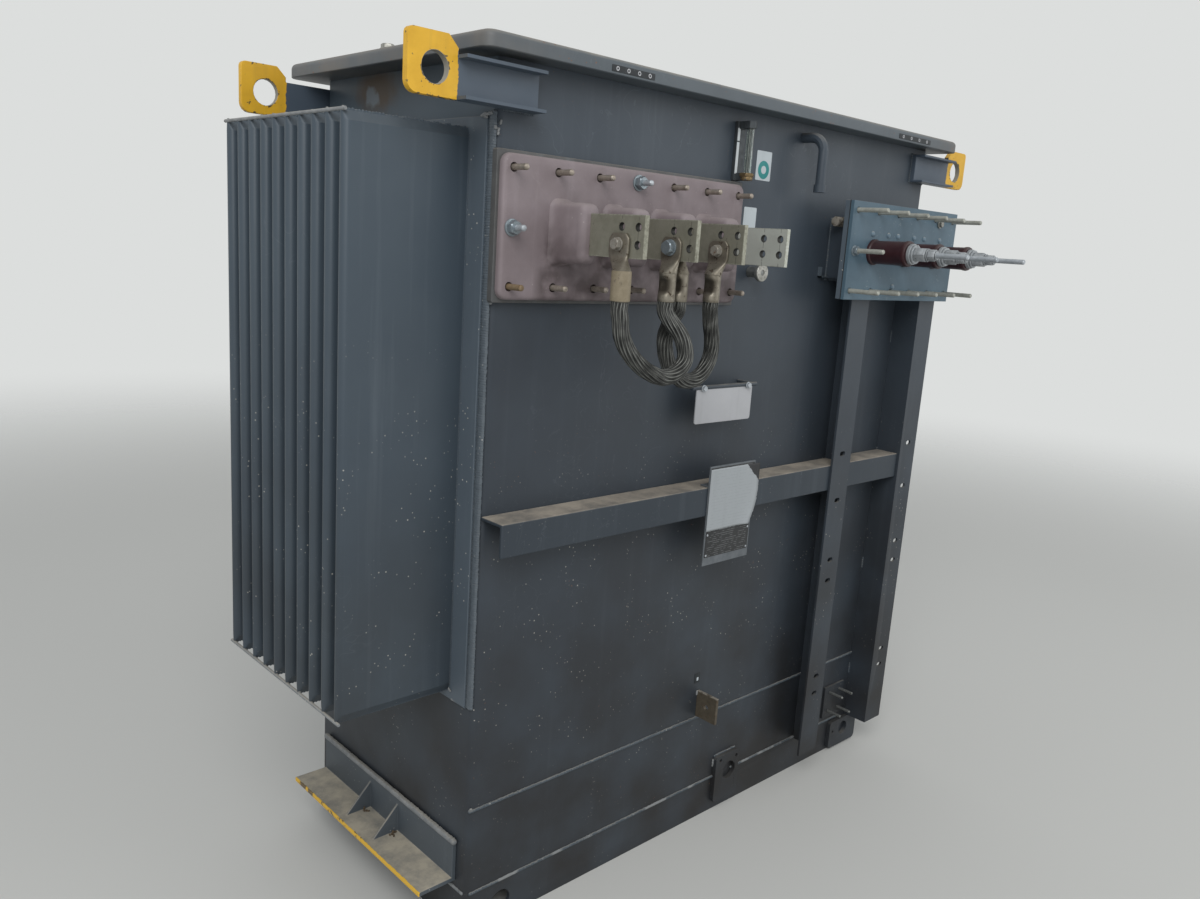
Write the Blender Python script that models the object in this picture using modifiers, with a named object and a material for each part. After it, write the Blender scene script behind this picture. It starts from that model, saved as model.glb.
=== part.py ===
"""Power transformer: sealed oil tank with a bank of cooling fins, low-voltage bars and a high-voltage turret.

Metres, +Z up. X runs along the tank and the front faces -Y. The origin is on the floor, under the middle
of the box round the whole object.
"""

import math

import bmesh
import bpy
import numpy as np
from mathutils import Matrix, Vector

CLEAR = 0.0003
OVERRUN = 0.005
WELD = 0.00001
ROUND_SIDES = 20
SMALL_SIDES = 12
HEX_SIDES = 6

# Tank
TANK_LENGTH = 1.500
TANK_DEPTH = 0.633
TANK_HEIGHT = 1.685
TANK_CORNER = 0.014
SKIRT_HEIGHT = 0.100
SKIRT_WALL = 0.010
SKIRT_HOLE_RADIUS = 0.026
SKIRT_HOLE_IN = 0.096
SKIRT_HOLE_HEIGHT = 0.046

# Lid
LID_THICK = 0.030
LID_OVER_END = 0.067
LID_OVER_FACE = 0.056
LID_EDGE = 0.010
LID_CORNER = 0.024
PLUG_RADIUS = 0.016
PLUG_HEIGHT = 0.012
PLUG_IN = 0.030

# Cooling fins
FIN_COUNT = 10
FIN_RISE = 0.445
FIN_DROP = 0.121
FIN_REACH = 0.262
FIN_PITCH = 0.0518
FIN_THICK = 0.026
FIN_ROOT = 0.016
FIN_PINCH = 0.045
FIN_SEAM = 0.006
FIN_NOSE = 0.013
FIN_FRAME_THICK = 0.006
FIN_FRAME_MARGIN = 0.022
FIN_FRAME_RISE = 0.020
TIE_RADIUS = 0.004
PINCH_SHARES = ((0, 0), (1 / 3, 1 / 2), (1, 1))

# Stiffening rails
RAIL_HEIGHT_SHARE = 0.497
RAIL_REACH = 0.069
RAIL_LEG = 0.069
RAIL_THICK = 0.008

# Feet at the ends
FOOT_INSET = 0.0365
FOOT_LIFT = 0.028
FOOT_REACH = 0.092
FOOT_RISE = 0.085
FOOT_THICK = 0.010
GUSSET_THICK = 0.006
GUSSET_REACH = 0.062
GUSSET_RISE = 0.066
GUSSET_OFFSET = 0.060

# Lifting lugs, each one plate with a channel over its inner half
LUG_CLEAR = 0.030
LUG_WIDTH = 0.100
LUG_HEIGHT = 0.103
LUG_THICK = 0.014
LUG_HEAD_ROUND = 0.010
LUG_FOOT_ROUND = 0.020
LUG_CHAMFER = 0.020
LUG_HOLE_RADIUS = 0.027
LUG_HOLE_IN = 0.054
LUG_HOLE_RISE = 0.046
BRACKET_DROP = 0.017
BRACKET_HEIGHT = 0.073
BRACKET_IN = 0.080
BRACKET_REACH = 0.040
BRACKET_WALL = 0.006

# Low-voltage plate
LV_LEFT = -0.001
LV_LENGTH = 0.680
LV_DROP = 0.164
LV_HEIGHT = 0.2635
LV_FRAME_THICK = 0.014
LV_FRAME_MARGIN = 0.006
LV_PLATE_THICK = 0.014
LV_CORNER = 0.020
LV_STUDS = 7
LV_STUD_RADIUS = 0.006
LV_STUD_HOLE_RADIUS = 0.009
LV_STUD_REACH = 0.078
LV_STUD_SIDE = 0.022
LV_STUD_INSET = 0.025
BOSS_WIDTH = 0.046
BOSS_HEIGHT = 0.124
BOSS_REACH = 0.088
BOSS_ROUND = 0.014
BARS = 4
BAR_OFFSET = 0.005
BAR_DROP = 0.003
BAR_PITCH = 0.136
BAR_THICK = 0.010
BAR_HEIGHT = 0.076
BAR_REACH = 0.141
BAR_SEAT = 0.020
BAR_HOLE_RADIUS = 0.007
BAR_HOLE_FROM_TIP = 0.016
BAR_HOLE_GAP = 0.042
BAR_HOLE_RISE = 0.017
BAR_HOLE_LOW = 0.014

# Cable lugs
PALM_WIDTH = 0.050
PALM_THICK = 0.006
PALM_RISE = 0.020
PALM_LOW = 0.024
PALM_ROUND = 0.017
PALM_HOLE_RADIUS = 0.0065
CRANK_HEIGHT = 0.022
CRANK_OVERLAP = 0.012
BARREL_RADIUS = 0.0165
BARREL_LENGTH = 0.054
CRANK_SHARE = 0.45

# Braids, each a list of steps from the mouth of its first barrel
BRAID_RADIUS = 0.016
BRAID_POINTS = 26
BRAID_LEAD = 0.014
LEFT_ROUTE = (
    (0.001, -0.003, -0.030),
    (0.006, -0.007, -0.064),
    (0.027, -0.011, -0.095),
    (0.063, -0.015, -0.122),
    (0.108, -0.018, -0.137),
    (0.143, -0.021, -0.127),
    (0.161, -0.022, -0.101),
    (0.154, -0.016, -0.065),
    (0.141, 0.008, -0.032),
)
RIGHT_ROUTE = (
    (-0.007, 0.006, -0.034),
    (-0.016, 0.011, -0.062),
    (-0.010, 0.015, -0.094),
    (0.012, 0.017, -0.132),
    (0.047, 0.017, -0.156),
    (0.088, 0.015, -0.154),
    (0.114, 0.011, -0.125),
    (0.117, 0.006, -0.086),
    (0.100, 0.000, -0.040),
)

# High-voltage turret
HV_OVER_END = 0.022
HV_LENGTH = 0.516
HV_DROP = 0.169
HV_HEIGHT = 0.240
HV_PLATE_THICK = 0.010
HV_FRAME_THICK = 0.015
HV_POST_GAP = 0.0032
NECK_INSET_X = 0.064
NECK_INSET_Z = 0.044
NECK_CORNER = 0.012
HV_STUDS = 6
HV_STUD_RADIUS = 0.006
HV_STUD_HOLE_RADIUS = 0.0075
HV_STUD_REACH = 0.074
HV_STUD_INSET = 0.022
HV_BUSHINGS = 3
HV_BUSHING_PITCH = 0.150
HV_BUSHING_RADIUS = 0.032
HV_BUSHING_REACH = 0.105
HV_BUSHING_ROUND = 0.006
HV_SPIGOT_RADIUS = 0.022
TERMINAL_REACH = 0.150
STEM_RADIUS = 0.009
COLLAR_RADIUS = 0.028
# Place and length along the stem, radius against the collar, and whether it is a hexagon
NUT_SHARES = (
    (0, 0.12, 1, False),
    (0.11, 0.17, 0.72, True),
    (0.40, 0.04, 0.80, False),
    (0.43, 0.17, 0.62, True),
    (0.66, 0.04, 0.80, False),
    (0.69, 0.17, 0.62, True),
)

# Posts
POST_OVER_END = 0.010
POST_SPAN = 0.421
POST_FLANGE = 0.082
POST_REACH = 0.0755
POST_THICK = 0.006
POST_LOW = 0.005
SLOT_LENGTH = 0.024
SLOT_HEIGHT = 0.013
SLOT_STEPS = 3
SLOT_SHARES = (0.658, 0.561, 0.434, 0.389, 0.176, 0.137)

# Level gauge
GAUGE_X = 0.672
GAUGE_DROP = 0.027
GAUGE_GAP = 0.010
GAUGE_REACH = 0.034
GAUGE_TUBE_RADIUS = 0.009
GAUGE_NUT_RADIUS = 0.014
GAUGE_NUT_HEIGHT = 0.016
GAUGE_ARM_SHARE = 0.7

# Relief pipe and valve
PIPE_X = 0.915
PIPE_RADIUS = 0.012
PIPE_REACH = 0.062
PIPE_DROP = 0.033
PIPE_LENGTH = 0.127
PIPE_BEND = 0.034
PIPE_COLLAR_RADIUS = 0.0145
PIPE_COLLAR_HEIGHT = 0.018
VALVE_GAP = 0.078
VALVE_RISE = 0.0725
VALVE_RADIUS = 0.021
VALVE_REACH = 0.030
VALVE_DISC = 0.008
VALVE_BODY_RADIUS = 0.013

# Sign and nameplate
SIGN_LEFT = 0.547
SIGN_WIDTH = 0.198
SIGN_RISE = 0.149
SIGN_HEIGHT = 0.078
SIGN_THICK = 0.003
SIGN_REACH = 0.050
SIGN_BAR_RADIUS = 0.005
SIGN_BAR_EXTRA = 0.016
SIGN_ARM_RADIUS = 0.004
PLATE_LEFT = 0.594
PLATE_WIDTH = 0.166
PLATE_RISE = 0.050
PLATE_HEIGHT = 0.240
PLATE_THICK = 0.003
PLATE_TAB = 0.024

# Earth terminal, pull eyes and stud pad
EARTH_X = 0.707
EARTH_THICK = 0.008
EARTH_REACH = 0.066
EARTH_RISE = 0.204
EARTH_HEIGHT = 0.070
EARTH_HOLE_RADIUS = 0.007
EYE_THICK = 0.012
EYE_CORNER = 0.012
EYE_SMALL_HOLE_RADIUS = 0.005
EYE_ONE_X = 0.848
EYE_ONE_WIDTH = 0.096
EYE_ONE_FOOT = 0.024
EYE_ONE_HEIGHT = 0.134
EYE_ONE_HOLE_RADIUS = 0.025
EYE_ONE_SHARES = ((0.08, 0.11), (-0.31, 0.39), (0.38, 0.36))
EYE_TWO_IN = 0.088
EYE_TWO_WIDTH = 0.140
EYE_TWO_FOOT = 0.006
EYE_TWO_GAP = 0.003
EYE_TWO_HOLE_RADIUS = 0.021
EYE_TWO_SHARES = ((0, 0.10), (-0.38, 0.10))
STUD_PAD_IN = 0.150
STUD_PAD_GAP = 0.024
STUD_PAD_SIZE = 0.100
STUD_PAD_THICK = 0.006
PAD_STUD_GAP = 0.050
PAD_STUD_RISE = 0.060
PAD_STUD_RADIUS = 0.005
PAD_STUD_REACH = 0.055

# Reaches past the tank, and the tank's faces in the object's frame
LUG_OUT = LID_OVER_END + LUG_CLEAR + LUG_WIDTH
FINS_OUT = FIN_REACH + TIE_RADIUS / 2
HV_FRONT = POST_REACH + HV_POST_GAP + HV_FRAME_THICK + CLEAR + HV_PLATE_THICK
TERMINALS_OUT = HV_FRONT + HV_BUSHING_REACH + CLEAR + TERMINAL_REACH
X0 = (FINS_OUT - LUG_OUT - TANK_LENGTH) / 2
X1 = X0 + TANK_LENGTH
Y0 = (TERMINALS_OUT - RAIL_REACH - TANK_DEPTH) / 2
Y1 = Y0 + TANK_DEPTH
MIDDLE_Y = (Y0 + Y1) / 2
TANK_BASE = SKIRT_HEIGHT
TANK_TOP = TANK_BASE + TANK_HEIGHT
FOOT_TOP = TANK_BASE + FOOT_LIFT
RAIL_TOP = TANK_BASE + RAIL_HEIGHT_SHARE * TANK_HEIGHT
BRACKET_HEAD = TANK_TOP - BRACKET_DROP
BRACKET_FOOT = BRACKET_HEAD - BRACKET_HEIGHT

# Low-voltage group
LV_X0 = X0 + LV_LEFT
LV_X1 = LV_X0 + LV_LENGTH
LV_HEAD = TANK_TOP - LV_DROP
LV_FOOT = LV_HEAD - LV_HEIGHT
LV_WALL = Y0 - CLEAR
LV_FRAME_FRONT = LV_WALL - LV_FRAME_THICK
LV_BACK = LV_FRAME_FRONT - CLEAR
LV_FRONT = LV_BACK - LV_PLATE_THICK
BOSS_FRONT = LV_FRONT - BOSS_REACH
BAR_TIP = BOSS_FRONT - BAR_REACH
BAR_MIDDLE = (LV_FOOT + LV_HEAD) / 2 - BAR_DROP
BAR_FOOT = BAR_MIDDLE - BAR_HEIGHT / 2
BAR_HEAD = BAR_MIDDLE + BAR_HEIGHT / 2
BOLT_Y = BAR_TIP + BAR_HOLE_FROM_TIP + BAR_HOLE_GAP
BOLT_Z = BAR_MIDDLE - BAR_HOLE_LOW

# High-voltage group
HV_X1 = X1 + HV_OVER_END
HV_X0 = HV_X1 - HV_LENGTH
HV_HEAD = TANK_TOP - HV_DROP
HV_FOOT = HV_HEAD - HV_HEIGHT
HV_MIDDLE = (HV_FOOT + HV_HEAD) / 2
HV_Y = Y0 - HV_FRONT
HV_BACK = HV_Y + HV_PLATE_THICK

# Posts and what stands between them
POST_FOOT = TANK_BASE - POST_LOW
POST_HEAD = HV_FOOT + NECK_INSET_Z - CLEAR
POST_Y = Y0 - POST_REACH
POST_X1 = X1 + POST_OVER_END
POST_X0 = POST_X1 - POST_SPAN
EYE_TWO_HEAD = POST_FOOT - EYE_TWO_GAP


def clear_scene():
    for obj in list(bpy.data.objects):
        bpy.data.objects.remove(obj, do_unlink=True)


def new_collection(name):
    made = bpy.data.collections.new(name)
    bpy.context.scene.collection.children.link(made)
    return made


def linear(channel):
    return channel / 12.92 if channel <= 0.04045 else ((channel + 0.055) / 1.055) ** 2.4


def paint(name, colour, roughness, metallic):
    made = bpy.data.materials.new(name)
    made.use_nodes = True
    shader = made.node_tree.nodes["Principled BSDF"]
    red, green, blue = (linear(int(colour[i : i + 2], 16) / 255) for i in (1, 3, 5))
    shader.inputs["Base Color"].default_value = (red, green, blue, 1)
    shader.inputs["Roughness"].default_value = roughness
    shader.inputs["Metallic"].default_value = metallic
    made.diffuse_color = (red, green, blue, 1)
    return made


def object_of(name, mesh, place, group=None):
    made = bpy.data.objects.new(name, mesh)
    made.location = place
    (group or HELPERS).objects.link(made)
    return made


def mesh_of(name, shape):
    mesh = bpy.data.meshes.new(name)
    shape.to_mesh(mesh)
    shape.free()
    return mesh


def box(name, x, y, z, group=None):
    """A box between two ends on each axis."""
    low = Vector((min(x), min(y), min(z)))
    high = Vector((max(x), max(y), max(z)))
    shape = bmesh.new()
    bmesh.ops.create_cube(shape, size=1)
    bmesh.ops.scale(shape, vec=high - low, verts=shape.verts)
    return object_of(name, mesh_of(name, shape), (low + high) / 2, group)


def rod(name, start, axis, reach, radius, sides=SMALL_SIDES, group=None):
    """A round bar from a start point, along an axis by a signed reach."""
    shape = bmesh.new()
    bmesh.ops.create_cone(
        shape,
        cap_ends=True,
        segments=sides,
        radius1=radius,
        radius2=radius,
        depth=abs(reach),
    )
    turns = {"x": (math.pi / 2, "Y"), "y": (math.pi / 2, "X"), "z": (0, "Z")}
    angle, about = turns[axis]
    bmesh.ops.rotate(
        shape, verts=shape.verts, matrix=Matrix.Rotation(angle, 3, about)
    )
    step = Vector((axis == "x", axis == "y", axis == "z")) * reach
    return object_of(name, mesh_of(name, shape), Vector(start) + step / 2, group)


def curve_mesh(name, curve):
    """The welded mesh of a curve."""
    drawn = bpy.data.objects.new(name + "_line", curve)
    HELPERS.objects.link(drawn)
    graph = bpy.context.evaluated_depsgraph_get()
    mesh = bpy.data.meshes.new_from_object(drawn.evaluated_get(graph))
    bpy.data.objects.remove(drawn)
    shape = bmesh.new()
    shape.from_mesh(mesh)
    bmesh.ops.remove_doubles(shape, verts=shape.verts, dist=WELD)
    bmesh.ops.recalc_face_normals(shape, faces=shape.faces)
    return shape


def prism(name, outline, axis, low, high, group=None):
    """A flat outline, in the two axes that follow the third in order, drawn out between two planes."""
    curve = bpy.data.curves.new(name, "CURVE")
    curve.dimensions = "2D"
    curve.fill_mode = "BOTH"
    curve.extrude = (high - low) / 2
    line = curve.splines.new("POLY")
    line.points.add(len(outline) - 1)
    for point, (a, b) in zip(line.points, outline):
        point.co = (a, b, 0, 1)
    line.use_cyclic_u = True
    shape = curve_mesh(name, curve)
    middle = (low + high) / 2
    turns = {
        "x": ((0, 0, 1, middle), (1, 0, 0, 0), (0, 1, 0, 0), (0, 0, 0, 1)),
        "y": ((0, 1, 0, 0), (0, 0, 1, middle), (1, 0, 0, 0), (0, 0, 0, 1)),
        "z": ((1, 0, 0, 0), (0, 1, 0, 0), (0, 0, 1, middle), (0, 0, 0, 1)),
    }
    bmesh.ops.transform(shape, matrix=Matrix(turns[axis]), verts=shape.verts)
    return object_of(name, mesh_of(name, shape), (0, 0, 0), group)


def quarter(a, b, radius, first, steps):
    """A quarter circle about a centre, from its first quarter turn."""
    angles = [(first + step / steps) * math.pi / 2 for step in range(steps + 1)]
    return [(a + radius * math.cos(t), b + radius * math.sin(t)) for t in angles]


def rounded(a, b, radius, steps=4):
    """The outline of a rectangle with round corners, between two ends on each of two axes."""
    a0, a1 = min(a) + radius, max(a) - radius
    b0, b1 = min(b) + radius, max(b) - radius
    corners = ((a1, b1), (a0, b1), (a0, b0), (a1, b0))
    found = []
    for first, (ca, cb) in enumerate(corners):
        found += quarter(ca, cb, radius, first, steps)
    return found


def loft(name, rings, group=None):
    """A closed skin over rings of as many points each, with flat ends."""
    shape = bmesh.new()
    rows = [[shape.verts.new(point) for point in ring] for ring in rings]
    for lower, upper in zip(rows, rows[1:]):
        for i in range(len(lower)):
            j = (i + 1) % len(lower)
            shape.faces.new((lower[i], lower[j], upper[j], upper[i]))
    shape.faces.new(rows[0][::-1])
    shape.faces.new(rows[-1])
    bmesh.ops.triangulate(shape, faces=shape.faces[:])
    bmesh.ops.recalc_face_normals(shape, faces=shape.faces)
    return object_of(name, mesh_of(name, shape), (0, 0, 0), group)


def tube(name, route, radius, detail):
    """A round tube along a list of points."""
    curve = bpy.data.curves.new(name, "CURVE")
    curve.dimensions = "3D"
    curve.bevel_depth = radius
    curve.bevel_resolution = detail
    curve.use_fill_caps = True
    line = curve.splines.new("POLY")
    line.points.add(len(route) - 1)
    for point, place in zip(line.points, route):
        point.co = (*place, 1)
    return curve


def combine(target, tool, operation, solver="EXACT"):
    step = target.modifiers.new(operation.title(), "BOOLEAN")
    step.operation = operation
    step.solver = solver
    step.object = tool
    tool.hide_render = True
    tool.display_type = "WIRE"


def cut(target, *tools):
    for tool in tools:
        combine(target, tool, "DIFFERENCE")


def fuse(target, *tools):
    for tool in tools:
        combine(target, tool, "UNION")


def soften(target, width, segments, angle):
    step = target.modifiers.new("Bevel", "BEVEL")
    step.width = width
    step.segments = segments
    step.limit_method = "ANGLE"
    step.angle_limit = math.radians(angle)


def finish(target, material):
    target.data.materials.clear()
    target.data.materials.append(material)
    return target


def end_face(side):
    return X1 if side > 0 else X0


def long_face(side):
    return Y1 if side > 0 else Y0


def row(low, high, count):
    """Places at even steps between two ends."""
    return [low + (high - low) * i / (count - 1) for i in range(count)]


def stud_row(low, high, foot, head, count):
    """A row of studs along the foot and the head of a plate, and one at the middle of each end."""
    columns = row(low, high, count)
    places = [(x, z) for x in columns for z in (foot, head)]
    return places + [(x, (foot + head) / 2) for x in (low, high)]


def tank():
    outline = rounded((X0, X1), (Y0, Y1), TANK_CORNER)
    body = prism("tank_body", outline, "z", TANK_BASE, TANK_TOP - CLEAR, PARTS)
    finish(body, TANK_PAINT)


def skirt():
    outline = rounded((X0, X1), (Y0, Y1), TANK_CORNER)
    ring = prism("base_skirt", outline, "z", 0, TANK_BASE - CLEAR, PARTS)
    hollow = box(
        "skirt_hollow",
        (X0 + SKIRT_WALL, X1 - SKIRT_WALL),
        (Y0 + SKIRT_WALL, Y1 - SKIRT_WALL),
        (-OVERRUN, TANK_BASE + OVERRUN),
    )
    cut(ring, hollow)
    # The left holes are in both long walls, and the right pull eye covers where a fourth would be
    for side, near in ((-1, Y0 - OVERRUN), (1, MIDDLE_Y)):
        start = (end_face(side) - side * SKIRT_HOLE_IN, near, SKIRT_HOLE_HEIGHT)
        through = Y1 + OVERRUN - near
        cut(ring, rod("skirt_hole", start, "y", through, SKIRT_HOLE_RADIUS, ROUND_SIDES))
    finish(ring, TANK_PAINT)


def lid():
    left, right = X0 - LID_OVER_END, X1 + LID_OVER_END
    outline = rounded((left, right), (Y0 - LID_OVER_FACE, Y1 + LID_OVER_FACE), LID_CORNER)
    top = prism("lid", outline, "z", TANK_TOP, TANK_TOP + LID_THICK, PARTS)
    soften(top, LID_EDGE, 2, 60)
    start = (left + PLUG_IN, MIDDLE_Y, TANK_TOP + LID_THICK / 2)
    fuse(top, rod("lid_plug", start, "z", LID_THICK / 2 + PLUG_HEIGHT, PLUG_RADIUS))
    finish(top, LID_PAINT)


def fin_ring(height, share):
    """One level of a fin: a long loop with a round nose, its thickness a share of the full one."""
    half = max(FIN_THICK * share, FIN_SEAM) / 2
    root = max(FIN_ROOT * share, FIN_SEAM) / 2
    nose = min(FIN_NOSE, half)
    side = [(X0 - FIN_FRAME_THICK / 2, root), (X0 - FIN_FRAME_THICK - FIN_THICK, half)]
    side += [(a, b) for b, a in quarter(half - nose, X0 - FIN_REACH + nose, -nose, 2, 4)]
    mirrored = [(x, -y) for x, y in side[::-1]]
    kept = []
    for x, y in side + mirrored:
        if not kept or math.dist(kept[-1], (x, y)) > WELD:
            kept.append((x, y))
    return [(x, y, height) for x, y in kept]


def fins():
    foot, head = TANK_BASE + FIN_RISE, TANK_TOP - FIN_DROP
    levels = [(foot + FIN_PINCH * place, share) for place, share in PINCH_SHARES]
    levels += [(head - FIN_PINCH * place, share) for place, share in PINCH_SHARES[::-1]]
    fin = loft("fin", [fin_ring(z, share) for z, share in levels])
    run = (FIN_COUNT - 1) * FIN_PITCH
    fin.location.y = MIDDLE_Y - run / 2
    copies = fin.modifiers.new("Row", "ARRAY")
    copies.count = FIN_COUNT
    copies.use_relative_offset = False
    copies.use_constant_offset = True
    copies.constant_offset_displace = (0, FIN_PITCH, 0)
    copies.use_merge_vertices = False
    bank = box(
        "fin_bank",
        (X0 - FIN_FRAME_THICK, X0 - CLEAR),
        (Y0 + FIN_FRAME_MARGIN, Y1 - FIN_FRAME_MARGIN),
        (foot - FIN_FRAME_RISE, head + FIN_FRAME_RISE),
        PARTS,
    )
    combine(bank, fin, "UNION", "MANIFOLD")
    for name, z in (("tie_low", foot), ("tie_high", head)):
        start = (X0 - FIN_REACH + TIE_RADIUS / 2, MIDDLE_Y - (run + FIN_THICK) / 2, z)
        tie = rod(name, start, "y", run + FIN_THICK, TIE_RADIUS)
        combine(bank, tie, "UNION", "MANIFOLD")
    finish(bank, FIN_PAINT)


def rail(name, side, left, right):
    """An angle: one leg away from the tank's face, and one hanging at its outer end."""
    near = long_face(side) + side * CLEAR
    out = long_face(side) + side * RAIL_REACH
    inner = out - side * RAIL_THICK
    section = [
        (near, RAIL_TOP),
        (out, RAIL_TOP),
        (out, RAIL_TOP - RAIL_LEG),
        (inner, RAIL_TOP - RAIL_LEG),
        (inner, RAIL_TOP - RAIL_THICK),
        (near, RAIL_TOP - RAIL_THICK),
    ]
    finish(prism(name, section, "x", left, right, PARTS), TANK_PAINT)


def rails():
    web_left, web_right = POST_X0 + POST_FLANGE, POST_X1 - POST_FLANGE
    rail("rail_front", -1, X0, web_left - POST_THICK - CLEAR)
    rail("rail_between_posts", -1, web_left + CLEAR, web_right - CLEAR)
    rail("rail_back", 1, X0, X1)


def gusset(name, face, side, place):
    inner = face + side * FOOT_THICK / 2
    outer = face + side * (FOOT_THICK + GUSSET_REACH)
    seat = FOOT_TOP - FOOT_THICK / 2
    section = [
        (seat, inner),
        (FOOT_TOP + GUSSET_RISE, inner),
        (FOOT_TOP + GUSSET_RISE, face + side * FOOT_THICK),
        (FOOT_TOP, outer),
        (seat, outer),
    ]
    return prism(name, section, "y", place - GUSSET_THICK / 2, place + GUSSET_THICK / 2)


def foot(name, side):
    face = end_face(side) + side * CLEAR
    width = (Y0 + FOOT_INSET, Y1 - FOOT_INSET)
    seat = (FOOT_TOP - FOOT_THICK, FOOT_TOP)
    plate = box(name, (face, face + side * FOOT_REACH), width, seat, PARTS)
    rise = (FOOT_TOP - FOOT_THICK / 2, FOOT_TOP + FOOT_RISE)
    fuse(plate, box(name + "_back", (face, face + side * FOOT_THICK), width, rise))
    for offset in (-GUSSET_OFFSET, GUSSET_OFFSET):
        fuse(plate, gusset(name + "_gusset", face, side, MIDDLE_Y + offset))
    finish(plate, TANK_PAINT)


def lug_outline(end):
    """The lug's plate and the channel's web as one outline, across from the lug's inner edge and up."""
    head = LUG_HEAD_ROUND
    low = LUG_FOOT_ROUND
    inward = LUG_OUT - LUG_WIDTH + BRACKET_IN
    outline = [(-inward, 0)]
    outline += quarter(LUG_WIDTH - low, low, low, 3, 4)
    outline += quarter(LUG_WIDTH - head, LUG_HEIGHT - head, head, 0, 3)
    outline += [(LUG_CHAMFER, LUG_HEIGHT), (0, LUG_HEIGHT - LUG_CHAMFER)]
    outline += [(0, BRACKET_HEIGHT), (-inward, BRACKET_HEIGHT)]
    near = end_face(end) + end * (LUG_OUT - LUG_WIDTH)
    return [(BRACKET_FOOT + up, near + end * across) for across, up in outline]


def lifting_lug(name, end, side):
    face = long_face(side) + side * CLEAR
    flat = sorted((face, face + side * LUG_THICK))
    plate = prism(name, lug_outline(end), "y", *flat, PARTS)
    near = end_face(end) + end * (LUG_OUT - LUG_WIDTH)
    run = (near, end_face(end) - end * BRACKET_IN)
    depth = (face + side * LUG_THICK / 2, face + side * BRACKET_REACH)
    for z in (BRACKET_FOOT, BRACKET_HEAD - BRACKET_WALL):
        fuse(plate, box(name + "_lip", run, depth, (z, z + BRACKET_WALL)))
    hole = end_face(end) + end * (LUG_OUT - LUG_HOLE_IN)
    start = (hole, face - side * OVERRUN, BRACKET_FOOT + LUG_HOLE_RISE)
    through = side * (LUG_THICK + 2 * OVERRUN)
    cut(plate, rod(name + "_eye", start, "y", through, LUG_HOLE_RADIUS, ROUND_SIDES))
    finish(plate, LUG_YELLOW)


def bar_x(number):
    return (LV_X0 + LV_X1) / 2 + BAR_OFFSET + BAR_PITCH * (number - (BARS - 1) / 2)


def lv_boss(number):
    boss = box(
        "lv_boss",
        (bar_x(number) - BOSS_WIDTH / 2, bar_x(number) + BOSS_WIDTH / 2),
        (BOSS_FRONT, LV_FRONT + LV_PLATE_THICK / 2),
        (BAR_MIDDLE - BOSS_HEIGHT / 2, BAR_MIDDLE + BOSS_HEIGHT / 2),
    )
    soften(boss, BOSS_ROUND, 2, 30)
    return boss


def bar_seat(number):
    return box(
        "lv_bar_seat",
        (bar_x(number) - BAR_THICK / 2 - CLEAR, bar_x(number) + BAR_THICK / 2 + CLEAR),
        (BOSS_FRONT - OVERRUN, BOSS_FRONT + BAR_SEAT + CLEAR),
        (BAR_FOOT - CLEAR, BAR_HEAD + CLEAR),
    )


def lv_plate():
    margin = LV_FRAME_MARGIN
    outline = rounded(
        (LV_FOOT - margin, LV_HEAD + margin), (LV_X0 - margin, LV_X1 + margin), LV_CORNER
    )
    frame = prism("lv_frame", outline, "y", LV_FRAME_FRONT, LV_WALL, PARTS)
    outline = rounded((LV_FOOT, LV_HEAD), (LV_X0, LV_X1), LV_CORNER)
    plate = prism("lv_plate", outline, "y", LV_FRONT, LV_BACK, PARTS)
    ends = (LV_X0 + LV_STUD_SIDE, LV_X1 - LV_STUD_SIDE)
    rows = (LV_FOOT + LV_STUD_INSET, LV_HEAD - LV_STUD_INSET)
    for x, z in stud_row(*ends, *rows, LV_STUDS):
        start = (x, LV_WALL - LV_FRAME_THICK / 2, z)
        fuse(frame, rod("lv_stud", start, "y", -LV_STUD_REACH, LV_STUD_RADIUS))
        through = -(LV_PLATE_THICK + 2 * OVERRUN)
        start = (x, LV_BACK + OVERRUN, z)
        cut(plate, rod("lv_stud_hole", start, "y", through, LV_STUD_HOLE_RADIUS))
    for number in range(BARS):
        fuse(plate, lv_boss(number))
    for number in range(BARS):
        cut(plate, bar_seat(number))
    finish(frame, TANK_PAINT)
    finish(plate, LV_RESIN)


def lv_bar(number):
    x = bar_x(number) - BAR_THICK / 2
    bar = box(
        f"lv_bar_{number + 1}",
        (x, x + BAR_THICK),
        (BAR_TIP, BOSS_FRONT + BAR_SEAT),
        (BAR_FOOT, BAR_HEAD),
        PARTS,
    )
    for y in (BOLT_Y - BAR_HOLE_GAP, BOLT_Y):
        for z in (BOLT_Z, BAR_MIDDLE + BAR_HOLE_RISE):
            start = (x - OVERRUN, y, z)
            through = BAR_THICK + 2 * OVERRUN
            cut(bar, rod("lv_bar_hole", start, "x", through, BAR_HOLE_RADIUS))
    finish(bar, BAR_TIN)


def ellipse(x, y, z, across, along):
    angles = [2 * math.pi * i / ROUND_SIDES for i in range(ROUND_SIDES)]
    return [(x + across * math.cos(t), y + along * math.sin(t), z) for t in angles]


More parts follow.
